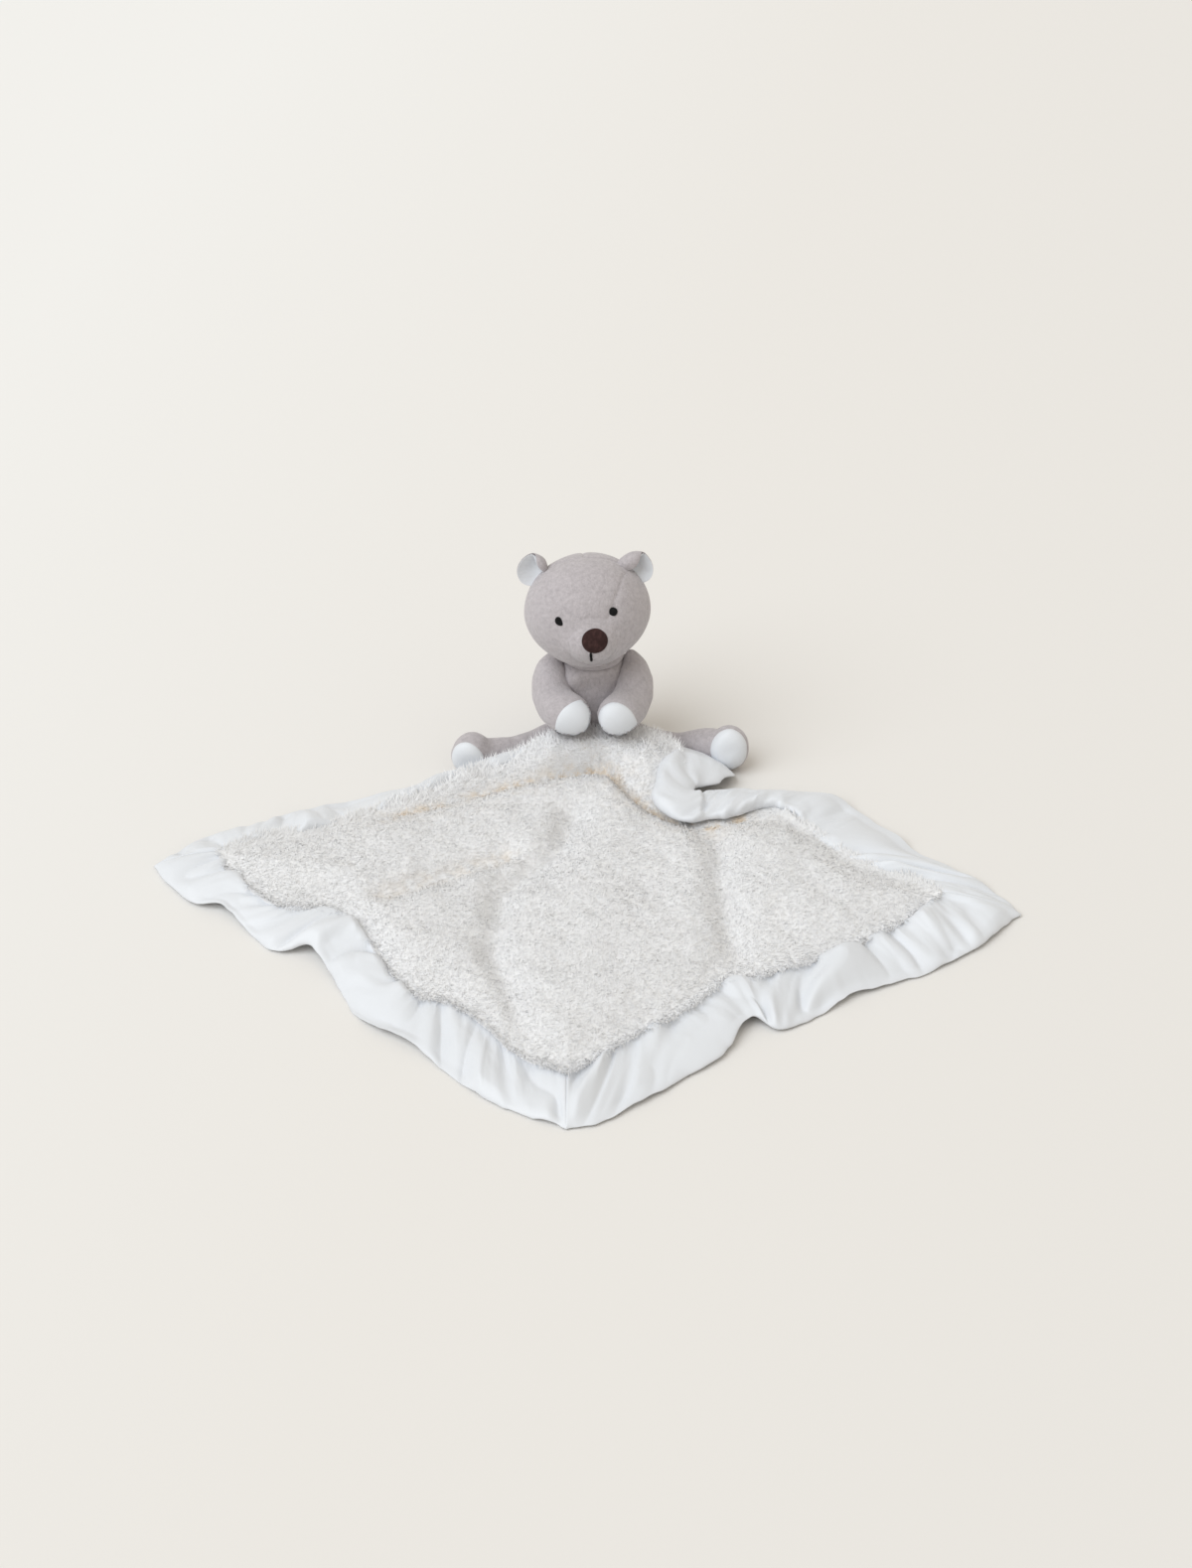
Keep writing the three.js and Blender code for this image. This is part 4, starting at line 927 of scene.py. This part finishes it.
def locks(name, roots, normals, lean, lengths, widths, raised, seed):
    """Curled locks of fibre: flat tapers that bend over as they rise, with the pile's own normals."""
    random = np.random.default_rng(seed)
    count = len(roots)
    lean = lean - normals * np.sum(lean * normals, axis=1, keepdims=True)
    ahead = unit_rows(lean)
    side = np.cross(normals, ahead) * (widths / 2)[:, None]
    tilt = np.radians(random.uniform(*LOCK_TILT, count))
    curl = np.radians(random.uniform(*LOCK_CURL, count))
    place = roots - normals * LOCK_ROOT
    points, facing = [], []
    for number, taper in enumerate(LOCK_TAPERS):
        bend = tilt + number * curl
        way = normals * np.cos(bend)[:, None] + ahead * np.sin(bend)[:, None]
        front = normals * np.sin(bend)[:, None] - ahead * np.cos(bend)[:, None]
        points += [place - side * taper, place + side * taper] if taper else [place]
        facing += [front] * (2 if taper else 1)
        place = place + way * (lengths / 2)[:, None]
    # Small lumps turn the normals, more so where the pile stands up
    lumps = np.stack([lattice_noise(roots, 2.4, 50 + k) for k in range(3)], axis=1)
    lumps *= (0.07 + 0.5 * raised)[:, None]
    shown = [unit_rows(normals + 0.28 * front + lumps) for front in facing]
    points = np.stack(points, axis=1).reshape(-1, 3)
    shown = np.stack(shown, axis=1).reshape(-1, 3)
    first = (np.arange(count) * LOCK_POINTS)[:, None]
    faces = (first + np.array([[0, 2, 3, 1]])).tolist() + (first + np.array([[2, 4, 3]])).tolist()
    piece = mesh_object(name, points, faces)
    piece.data.normals_split_custom_set_from_vertices(shown.tolist())
    return piece


# Soft bodies

def relief(piece, heights):
    """Moves a piece's points along their normals, by one height or by one for each."""
    set_points(piece, mesh_points(piece) + mesh_normals(piece) * np.reshape(heights, (-1, 1)))


def soft_form(name, node, swell, smoothing=14, voxel=2.0):
    """A stuffed shape round one filling: remeshed, rounded and swollen to its cover's size."""
    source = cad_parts[node]
    piece = bpy.data.objects.new(name, source.data.copy())
    piece.data.transform(source.matrix_world)
    bpy.context.scene.collection.objects.link(piece)
    remesh = piece.modifiers.new("remesh", "REMESH")
    remesh.mode = "VOXEL"
    remesh.voxel_size = voxel * MM
    rounding = piece.modifiers.new("rounding", "SMOOTH")
    rounding.factor = 0.5
    rounding.iterations = smoothing
    apply_modifiers(piece)
    relief(piece, swell)
    subdivide(piece)
    return piece


def sculpt(piece, brushes):
    """Moves soft regions. A brush is a centre, a radius, a shift, and a swelling."""
    points, normals = mesh_points(piece), mesh_normals(piece)
    for centre, radius, shift, swelling in brushes:
        near = eased(1 - np.linalg.norm(points - np.array(centre), axis=1) / radius)[:, None]
        points = points + near * (np.array(shift) + normals * swelling)
    set_points(piece, points)


def seam_groove(points, route, depth, width):
    """Depth of a sewn seam along a route, with the soft dip that its thread pulls in beside it."""
    nearest = route_distance(points, route)
    return -depth * np.exp(-(nearest / width) ** 2) - 0.6 * depth * np.exp(-(nearest / (4 * width)) ** 2)


def patch(name, tree, centre, facing, up, radii, thickness, edge):
    """A thin panel laid on a surface. Its outline is given by radii at even turns from its right."""
    spokes, rings = PATCH_GRID
    facing = Vector(facing).normalized()
    right = Vector(up).cross(facing).normalized()
    upward = facing.cross(right)
    outline = np.interp(
        np.arange(spokes) / spokes, np.linspace(0, 1, len(radii) + 1), [*radii, radii[0]])
    kernel = np.array([1, 2, 3, 2, 1]) / 9
    outline = np.convolve(np.concatenate([outline[-2:], outline, outline[:2]]), kernel, "valid")
    top, under = [], []
    for spoke in range(spokes):
        angle = 2 * math.pi * spoke / spokes
        for ring in range(rings + 1):
            share = (ring + 0.02) / (rings + 0.02)
            reach = outline[spoke] * share
            start = Vector(centre) + (right * math.cos(angle) + upward * math.sin(angle)) * reach
            hit, normal, _, _ = tree.ray_cast(start + facing * PATCH_CAST, -facing)
            if hit is None:
                hit, normal, _, _ = tree.find_nearest(start)
            height = edge + (thickness - edge) * (1 - share**3) ** 0.5
            top.append(hit + normal * (height if ring < rings else -PATCH_TUCK))
            under.append(hit - normal * PATCH_DEPTH)
    return mesh_object(name, np.array(top + under), closed_disc_faces(spokes, rings + 1))


def stuffed_limb(context, body, limb, satin_name, satin_node):
    """Makes an arm or a leg with its plush cover, and the satin on its end."""
    piece = soft_form(body, f"{body}_stuffing", context.scene.lovey_sizes.cover_swell / MM)
    sculpt(piece, limb["brushes"])
    points = mesh_points(piece)
    points[:, 2] = np.maximum(points[:, 2], LIMB_LOWEST)
    set_points(piece, points)
    satin = patch(satin_name, surface_tree(piece), limb["place"], limb["facing"], limb["up"],
                  limb["radii"], SATIN_PATCH, SATIN_PATCH_EDGE)
    finish_piece(satin, body, "satin", [satin_node])
    dress(piece, "plush", [f"{body}_cover", f"{body}_stuffing"])
    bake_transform(piece)


# Head

def head_matrix():
    """The head's own frame in the scene's, in millimetres."""
    return Matrix.Translation(HEAD_CENTRE) @ HEAD_EULER.to_matrix().to_4x4()


def to_world(points):
    """Points of the head's frame, in the scene's."""
    matrix = np.array(head_matrix())
    return points @ matrix[:3, :3].T + matrix[:3, 3]


def head_direction(vector):
    """A direction of the head's frame, in the scene's."""
    return head_matrix().to_3x3() @ Vector(vector)


def head_skin():
    """Points and faces of the head with its muzzle, in its own frame."""
    unit, faces = ball(*HEAD_GRID)
    below = np.clip(unit[:, 2], -1, 0)
    taper = 1 - CHIN_TAPER * below**2
    skull = unit * np.array(HEAD_HALF)
    skull[:, 0] *= taper
    reach = np.linalg.norm(skull, axis=1)
    way = unit_rows(skull)
    # Distance along the same way to the muzzle's surface
    centre, half = np.array(MUZZLE_CENTRE), np.array(MUZZLE_HALF)
    a = np.sum((way / half) ** 2, axis=1)
    b = np.sum(way * centre / half**2, axis=1)
    c = np.sum((centre / half) ** 2) - 1
    inside = b**2 - a * c
    muzzle = np.where(inside > 0, (b + np.sqrt(np.maximum(inside, 0))) / a, 0)
    nearer = np.maximum(muzzle, reach - 30)
    blended = MUZZLE_BLEND * np.logaddexp(reach / MUZZLE_BLEND, nearer / MUZZLE_BLEND)
    return way * blended[:, None], faces


def seam_route(shares):
    """A seam's route, as points at one distance round the head's middle."""
    return unit_rows(smooth_line(np.array(shares) * np.array(HEAD_HALF), 8 * len(shares))) * HEAD_HALF.z


# Settings, operators and panel

class LoveySizes(bpy.types.PropertyGroup):
    """Sizes that a user may change"""

    pile_length: bpy.props.FloatProperty(
        name="Pile length", description="Length of the fleece's curly locks", default=0.0036, unit="LENGTH")
    pile_spacing: bpy.props.FloatProperty(
        name="Pile spacing", description="Distance between locks", default=0.0007, unit="LENGTH")
    cover_swell: bpy.props.FloatProperty(
        name="Cover swell", description="From the filling to the outside of the plush", default=0.0018,
        unit="LENGTH")
    seam_depth: bpy.props.FloatProperty(
        name="Seam depth", description="Depth of a sewn seam in the plush", default=0.0005, unit="LENGTH")


class LoveyColours(bpy.types.PropertyGroup):
    """Colours of the finishes"""

    plush: bpy.props.FloatVectorProperty(
        name="Plush", description="Taupe grey plush", default=(0.457, 0.426, 0.443), subtype="COLOR",
        min=0, max=1)
    satin: bpy.props.FloatVectorProperty(
        name="Satin", description="White satin", default=(0.705, 0.728, 0.766), subtype="COLOR",
        min=0, max=1)
    fleece: bpy.props.FloatVectorProperty(
        name="Fleece", description="Cream fleece", default=(0.822, 0.826, 0.84), subtype="COLOR",
        min=0, max=1)
    backing: bpy.props.FloatVectorProperty(
        name="Backing", description="White lining", default=(0.76, 0.76, 0.75), subtype="COLOR",
        min=0, max=1)
    nose: bpy.props.FloatVectorProperty(
        name="Nose", description="Brown velour", default=(0.04, 0.02, 0.019), subtype="COLOR", min=0, max=1)
    thread: bpy.props.FloatVectorProperty(
        name="Thread", description="Black thread", default=(0.005, 0.005, 0.005), subtype="COLOR",
        min=0, max=1)
    floor: bpy.props.FloatVectorProperty(
        name="Floor", description="Pale seamless floor", default=(0.798, 0.78, 0.758), subtype="COLOR",
        min=0, max=1)


class LOVEY_OT_stage(bpy.types.Operator):
    """Makes the floor, the light and the camera"""

    bl_idname = "lovey.stage"
    bl_label = "Stage"

    def execute(self, context):
        scene = context.scene
        scene.view_settings.view_transform = "Standard"
        self.make_floor(tuple(scene.lovey_colours.floor))
        self.make_room(scene, tuple(scene.lovey_colours.floor))
        self.make_window(scene)
        self.make_camera(scene)
        return {"FINISHED"}

    def make_floor(self, colour):
        """A wide floor, its colour painted a little cooler on one side and darker on the other, as the light
        falls off.
        """
        corners = [(across * FLOOR_REACH, along * FLOOR_REACH, 0)
                   for across, along in ((-1, -1), (1, -1), (1, 1), (-1, 1))]
        floor = mesh_object("floor", np.array(corners), [[0, 1, 2, 3]], smooth=False)
        finish = Finish("floor")
        # Painted falloff of the light across the floor: cooler on one side, darker on the other
        painted_falloff = finish.node("ShaderNodeTexGradient")
        mapping = finish.node("ShaderNodeMapping", {
            "Location": (0.5, 0.5, 0), "Rotation": (0, 0, 0.2), "Scale": (0.9, 0.9, 1),
        })
        finish.link(finish.place, mapping.inputs["Vector"])
        finish.link(mapping.outputs["Vector"], painted_falloff.inputs["Vector"])
        cool = (colour[0] * 1.02, colour[1] * 1.04, colour[2] * 1.06)
        finish.colour_from(finish.ramp(painted_falloff.outputs["Fac"], [
            (0.0, cool), (0.5, shade(colour, 0.96)), (1.0, shade(colour, 0.925)),
        ]))
        floor.data.materials.append(finish.settings(Roughness=0.95, Specular_IOR_Level=0.1))

    def make_room(self, scene, colour):
        """The camera and glossy surfaces see the pale backdrop, and the room's light falls on the rest."""
        world = bpy.data.worlds.new("room")
        scene.world = world
        world.use_nodes = True
        tree = world.node_tree
        light = tree.nodes["Background"]
        light.inputs["Color"].default_value = (*ROOM_LIGHT, 1)
        light.inputs["Strength"].default_value = ROOM_STRENGTH
        backdrop = tree.nodes.new("ShaderNodeBackground")
        backdrop.inputs["Color"].default_value = (*shade(colour, 1.1), 1)
        rays = tree.nodes.new("ShaderNodeLightPath")
        either = tree.nodes.new("ShaderNodeMath")
        either.operation = "MAXIMUM"
        mixing = tree.nodes.new("ShaderNodeMixShader")
        for output, target in (
            (rays.outputs["Is Camera Ray"], either.inputs[0]),
            (rays.outputs["Is Glossy Ray"], either.inputs[1]),
            (either.outputs[0], mixing.inputs[0]),
            (light.outputs[0], mixing.inputs[1]),
            (backdrop.outputs[0], mixing.inputs[2]),
            (mixing.outputs[0], tree.nodes["World Output"].inputs["Surface"]),
        ):
            tree.links.new(output, target)

    def make_window(self, scene):
        """Soft light from one side, as from a wide window."""
        sun = bpy.data.lights.new("window", "SUN")
        sun.energy = WINDOW_ENERGY
        sun.angle = math.radians(WINDOW_ANGLE)
        sun.color = WINDOW_LIGHT
        window = bpy.data.objects.new("window", sun)
        window.rotation_euler = Vector(WINDOW_WAY).to_track_quat("-Z", "Y").to_euler()
        scene.collection.objects.link(window)

    def make_camera(self, scene):
        """A camera in front of the bear, looking down at the blanket."""
        data = bpy.data.cameras.new("camera")
        data.lens, data.sensor_width = CAMERA_LENS, CAMERA_SENSOR
        data.clip_start, data.clip_end = 0.05, 100
        camera = bpy.data.objects.new("camera", data)
        lift = math.radians(CAMERA_LIFT)
        back = Vector((0, -math.cos(lift), math.sin(lift)))
        camera.location = Vector(CAMERA_TARGET) * MM + back * CAMERA_DISTANCE
        camera.rotation_euler = (-back).to_track_quat("-Z", "Y").to_euler()
        scene.collection.objects.link(camera)
        scene.camera = camera


class LOVEY_OT_fleece(bpy.types.Operator):
    """Makes the fleece panel, its curly pile and the lining under it"""

    bl_idname = "lovey.fleece"
    bl_label = "Fleece"

    def execute(self, context):
        sizes = context.scene.lovey_sizes
        columns, rows = PANEL_COLUMNS, PANEL_ROWS
        top, room, ways = fleece_surface(columns, rows)
        top[:, 2] += layered_noise(top, MAT_LUMPS)
        under = top.copy()
        lowest = BACKING_THICKNESS + LAYER_GAP
        under[:, 2] = np.maximum(top[:, 2] - FLEECE_THICKNESS, lowest)
        points, faces = closed_sheet(top, under, columns, rows)
        panel = mesh_object("fleece_panel", points, faces)
        # Painted warm shade along the crease and the dent
        set_share(panel, "painted_shade", painted_crease_shade(mesh_points(panel)))
        finish_piece(panel, ROOT_BODY, "fleece", ["blanket_fleece"])

        lining_top = under.copy()
        lining_top[:, 2] -= LAYER_GAP
        lining_under = lining_top.copy()
        lining_under[:, 2] -= BACKING_THICKNESS
        thinned = (slice(None, None, LINING_THINNING),) * 2
        grids = [grid.reshape(columns, rows, 3)[thinned] for grid in (lining_top, lining_under)]
        points, faces = closed_sheet(*(grid.reshape(-1, 3) for grid in grids), *grids[0].shape[:2])
        lining = mesh_object("blanket_lining", points, faces)
        finish_piece(lining, ROOT_BODY, "backing", ["blanket_backing"])
        self.pile(sizes, top.reshape(columns, rows, 3), room, ways)
        return {"FINISHED"}

    def pile(self, sizes, top, room, ways):
        """Sows the locks evenly over the panel, in pieces from left to right."""
        random = np.random.default_rng(7)
        across = np.gradient(top, axis=0)
        along = np.gradient(top, axis=1)
        cross = np.cross(across, along)
        area = np.linalg.norm(cross, axis=2)
        normals = cross / area[..., None]
        spacing = sizes.pile_spacing / MM
        chance = (area / spacing**2).ravel()
        copies = np.floor(chance + random.uniform(size=len(chance))).astype(int)
        index = np.repeat(np.arange(len(chance)), copies)
        shift = random.uniform(-0.5, 0.5, (len(index), 2))
        here, across, along, normals = (
            grid.reshape(-1, 3)[index] for grid in (top, across, along, normals)
        )
        roots = here + across * shift[:, :1] + along * shift[:, 1:]
        upward = unit_rows(normals + random.normal(0, STRAY, (len(index), 3)))
        turn = SWIRL * math.pi * lattice_noise(roots, SWIRL_SIZE, 8) + random.normal(0, SWIRL, len(index))
        lean = np.stack([np.cos(turn), np.sin(turn), np.zeros(len(index))], axis=1)
        outward = np.hstack([ways[index], np.zeros((len(index), 1))])
        lean += EDGE_LEAN * np.exp(-room[index] / PILE_EDGE)[:, None] * outward
        from_crest = route_distance(roots[:, :2], ROLL_SHARES[:, :2] * HALF_SPREAD)
        crest = np.exp(-(from_crest / CREST_WIDTH) ** 2)
        length = sizes.pile_length / MM * random.uniform(*LOCK_LENGTH, len(index))
        lumps = 0.12 * lattice_noise(roots, 4.5, 5)
        length *= 1 + lumps + CREST_LENGTH * crest + EDGE_LENGTH * np.exp(-room[index] / LONG_EDGE)
        width = random.uniform(*LOCK_WIDTH, len(index))
        order = np.argsort(roots[:, 0])
        for number, part in enumerate(np.array_split(order, PILE_PIECES)):
            piece = locks(f"fleece_pile_{number + 1}", roots[part], upward[part], lean[part],
                          length[part], width[part], crest[part], 11 + number)
            # Painted warm shade along the crease and the dent
            set_share(piece, "painted_shade", np.repeat(painted_crease_shade(roots[part]), LOCK_POINTS))
            # Painted light along the crest of the roll
            set_share(piece, "painted_crest_light", np.repeat(crest[part], LOCK_POINTS))
            finish_piece(piece, ROOT_BODY, "fleece")


class LOVEY_OT_border(bpy.types.Operator):
    """Makes the four satin strips and the stitch at the tummy"""

    bl_idname = "lovey.border"
    bl_label = "Satin border"

    def execute(self, context):
        strips = [
            ("border_back_left", BACK_LEFT_SHARES, 21),
            ("border_front_left", FRONT_LEFT_SHARES, 22),
            ("border_front_right", FRONT_RIGHT_SHARES, 23),
            ("border_back_right", BACK_RIGHT_SHARES, 24),
        ]
        for name, shares, seed in strips:
            piece, length, width = border_piece(f"{name}_satin", shares, seed)
            finish_piece(piece, ROOT_BODY, "satin", [name])
        tack = soft_form("tummy_stitch", "tummy_tack", 0.0, smoothing=4, voxel=0.6)
        finish_piece(tack, ROOT_BODY, "thread", ["tummy_tack"])
        return {"FINISHED"}


class LOVEY_OT_torso(bpy.types.Operator):
    """Makes the stuffed body and the neck"""

    bl_idname = "lovey.torso"
    bl_label = "Body"

    def execute(self, context):
        swell = context.scene.lovey_sizes.cover_swell / MM
        torso = soft_form("torso", "torso_stuffing", swell)
        sculpt(torso, CHEST)
        finish_piece(torso, ROOT_BODY, "plush", ["torso_cover", "torso_stuffing"])
        unit, faces = ball(*NECK_GRID)
        neck = mesh_object("neck_roll", unit * np.array(NECK_HALF) + np.array(NECK_CENTRE), faces)
        finish_piece(neck, "neck", "plush", ["neck_stuffing"])
        return {"FINISHED"}


class LOVEY_OT_head(bpy.types.Operator):
    """Makes the head with its seams, muzzle, nose, mouth and eyes"""

    bl_idname = "lovey.head"
    bl_label = "Head and face"

    def execute(self, context):
        depth = context.scene.lovey_sizes.seam_depth / MM
        points, faces = head_skin()
        head = mesh_object("head", to_world(points), faces)
        heights = np.zeros(len(points))
        ways = unit_rows(points) * HEAD_HALF.z
        for shares in HEAD_SEAMS.values():
            heights = np.minimum(heights, seam_groove(ways, seam_route(shares), depth, SEAM_WIDTH))
        for side in ("left", "right"):
            eye = np.array(FACE_PANELS[f"eye_{side}_stitch"]["place"])
            away = np.linalg.norm(points - eye, axis=1) / EYE_DIP_WIDTH
            heights -= EYE_DIP * np.exp(-away**2)
        heights += layered_noise(points, HEAD_LUMPS)
        relief(head, heights)
        finish_piece(head, "head", "plush", ["head_cover", "head_stuffing"])

        muzzle = self.panel("muzzle", head)
        finish_piece(muzzle, "head", "plush", ["muzzle_cover"])
        nose = self.panel("nose_pad", head, muzzle)
        finish_piece(nose, "head", "nose_velour", ["nose"])
        mouth = self.panel("mouth_thread", head, muzzle, nose)
        finish_piece(mouth, "head", "thread", ["mouth_stitch"])
        for side in ("left", "right"):
            eye = self.panel(f"eye_{side}_stitch", head)
            finish_piece(eye, "head", "thread", [f"eye_{side}"])
        return {"FINISHED"}

    def panel(self, name, *skin):
        """Lays one panel of the face on the pieces under it."""
        row = FACE_PANELS[name]
        centre = Vector(to_world(np.array([row["place"]]))[0])
        return patch(name, surface_tree(*skin), centre, head_direction(row["facing"]),
                     head_direction((0, 0, 1)), row["radii"], row["thickness"], row["edge"])


class LOVEY_OT_ears(bpy.types.Operator):
    """Makes the two pinched ears, plush behind and satin in front"""

    bl_idname = "lovey.ears"
    bl_label = "Ears"

    def execute(self, context):
        for name, ear in EARS.items():
            for layer, (slot, size, front, behind) in EAR_LAYERS.items():
                points, faces = self.layer(ear, size, front, behind)
                piece = mesh_object(f"{name}_{layer}_cloth", self.placed(ear, points), faces)
                subdivide(piece)
                finish_piece(piece, name, slot, [f"{name}_{layer}"])
        return {"FINISHED"}

    def layer(self, ear, size, front, behind):
        """An oval of a size, cupped and rolled forward along its fold."""
        spokes, rings = EAR_GRID
        turn = np.repeat(np.arange(spokes) * 2 * math.pi / spokes, rings)
        ring = np.tile((np.arange(rings) + 0.3) / (rings - 0.7), spokes)
        x = ear["half"][0] * size * ring * np.cos(turn)
        z = ear["half"][1] * size * ring * np.sin(turn)
        cup = EAR_CUP * (1 - ring**2) + 0.5 * lattice_noise(np.stack([x, z, 0 * x], axis=1), 6, 31)
        faces_y = [cup + front, cup + behind]
        middle = sum(faces_y) / 2
        # Both faces close in on the middle towards the rim
        thin = 0.3 + 0.7 * (1 - ring**6)
        points = np.vstack([
            self.rolled(ear, np.stack([x, middle + (y - middle) * thin, z], axis=1)) for y in faces_y
        ])
        points[:, 0] += ear["middle"][0]
        points[:, 2] += ear["middle"][1]
        return points, closed_disc_faces(spokes, rings)

    def rolled(self, ear, points):
        """Rolls the part of the ear beyond its fold line forward, over the lining."""
        offset, degrees = ear["fold"]
        angle = math.radians(degrees)
        across = np.array([math.sin(angle), 0, math.cos(angle)])
        distance = points @ across - offset
        bend = np.clip(distance / EAR_ROLL, 0, math.radians(ear["curl"]))
        beyond = distance - bend * EAR_ROLL
        flat = points - distance[:, None] * across
        radius = EAR_ROLL + points[:, 1]
        along = radius * np.sin(bend) + beyond * np.cos(bend)
        flat[:, 1] = radius * np.cos(bend) - EAR_ROLL - beyond * np.sin(bend)
        return np.where((distance > 0)[:, None], flat + across * along[:, None], points)

    def placed(self, ear, points):
        """Stands the ear on the head, facing forward."""
        unit = Vector(ear["share"]).normalized()
        below = min(unit.z, 0)
        narrowing = 1 - CHIN_TAPER * below * below
        root = Vector((unit.x * HEAD_HALF.x * narrowing, unit.y * HEAD_HALF.y, unit.z * HEAD_HALF.z))
        outward = Vector((unit.x, 0, unit.z)).normalized()
        across = Vector((outward.z, 0, -outward.x))
        basis = Matrix((across, (0, 1, 0), outward)).transposed()
        local = points @ np.array(basis).T + np.array(root)
        return to_world(local)


class LOVEY_OT_arms(bpy.types.Operator):
    """Makes the arms and their paw pads"""

    bl_idname = "lovey.arms"
    bl_label = "Arms"

    def execute(self, context):
        for side, arm in ARMS.items():
            stuffed_limb(context, f"arm_{side}", arm, f"paw_{side}_satin", f"paw_{side}_pad")
        return {"FINISHED"}


class LOVEY_OT_legs(bpy.types.Operator):
    """Makes the legs, feet and satin soles"""

    bl_idname = "lovey.legs"
    bl_label = "Legs"

    def execute(self, context):
        for side, leg in LEGS.items():
            stuffed_limb(context, f"leg_{side}", leg, f"foot_{side}_satin", f"foot_{side}_sole")
        return {"FINISHED"}


# The steps, in the order that main takes them
STEPS = [
    LOVEY_OT_stage, LOVEY_OT_fleece, LOVEY_OT_border, LOVEY_OT_torso, LOVEY_OT_head, LOVEY_OT_ears,
    LOVEY_OT_arms, LOVEY_OT_legs,
]


class LOVEY_PT_panel(bpy.types.Panel):
    """Lists the steps that make the lovey"""

    bl_idname = "LOVEY_PT_panel"
    bl_label = "Comfort Blanket Lovey"
    bl_space_type = "VIEW_3D"
    bl_region_type = "UI"
    bl_category = "Lovey"

    def draw(self, context):
        for step in STEPS:
            self.layout.operator(step.bl_idname)
        for group in (context.scene.lovey_sizes, context.scene.lovey_colours):
            for name in group.__annotations__:
                self.layout.prop(group, name)


CLASSES = [LoveySizes, LoveyColours, *STEPS, LOVEY_PT_panel]


def register():
    for one in CLASSES:
        bpy.utils.register_class(one)
    bpy.types.Scene.lovey_sizes = bpy.props.PointerProperty(type=LoveySizes)
    bpy.types.Scene.lovey_colours = bpy.props.PointerProperty(type=LoveyColours)


def unregister():
    del bpy.types.Scene.lovey_colours
    del bpy.types.Scene.lovey_sizes
    for one in reversed(CLASSES):
        bpy.utils.unregister_class(one)


def main():
    register()
    for step in STEPS:
        group, name = step.bl_idname.split(".")
        getattr(getattr(bpy.ops, group), name)()


if __name__ == "__main__":
    main()
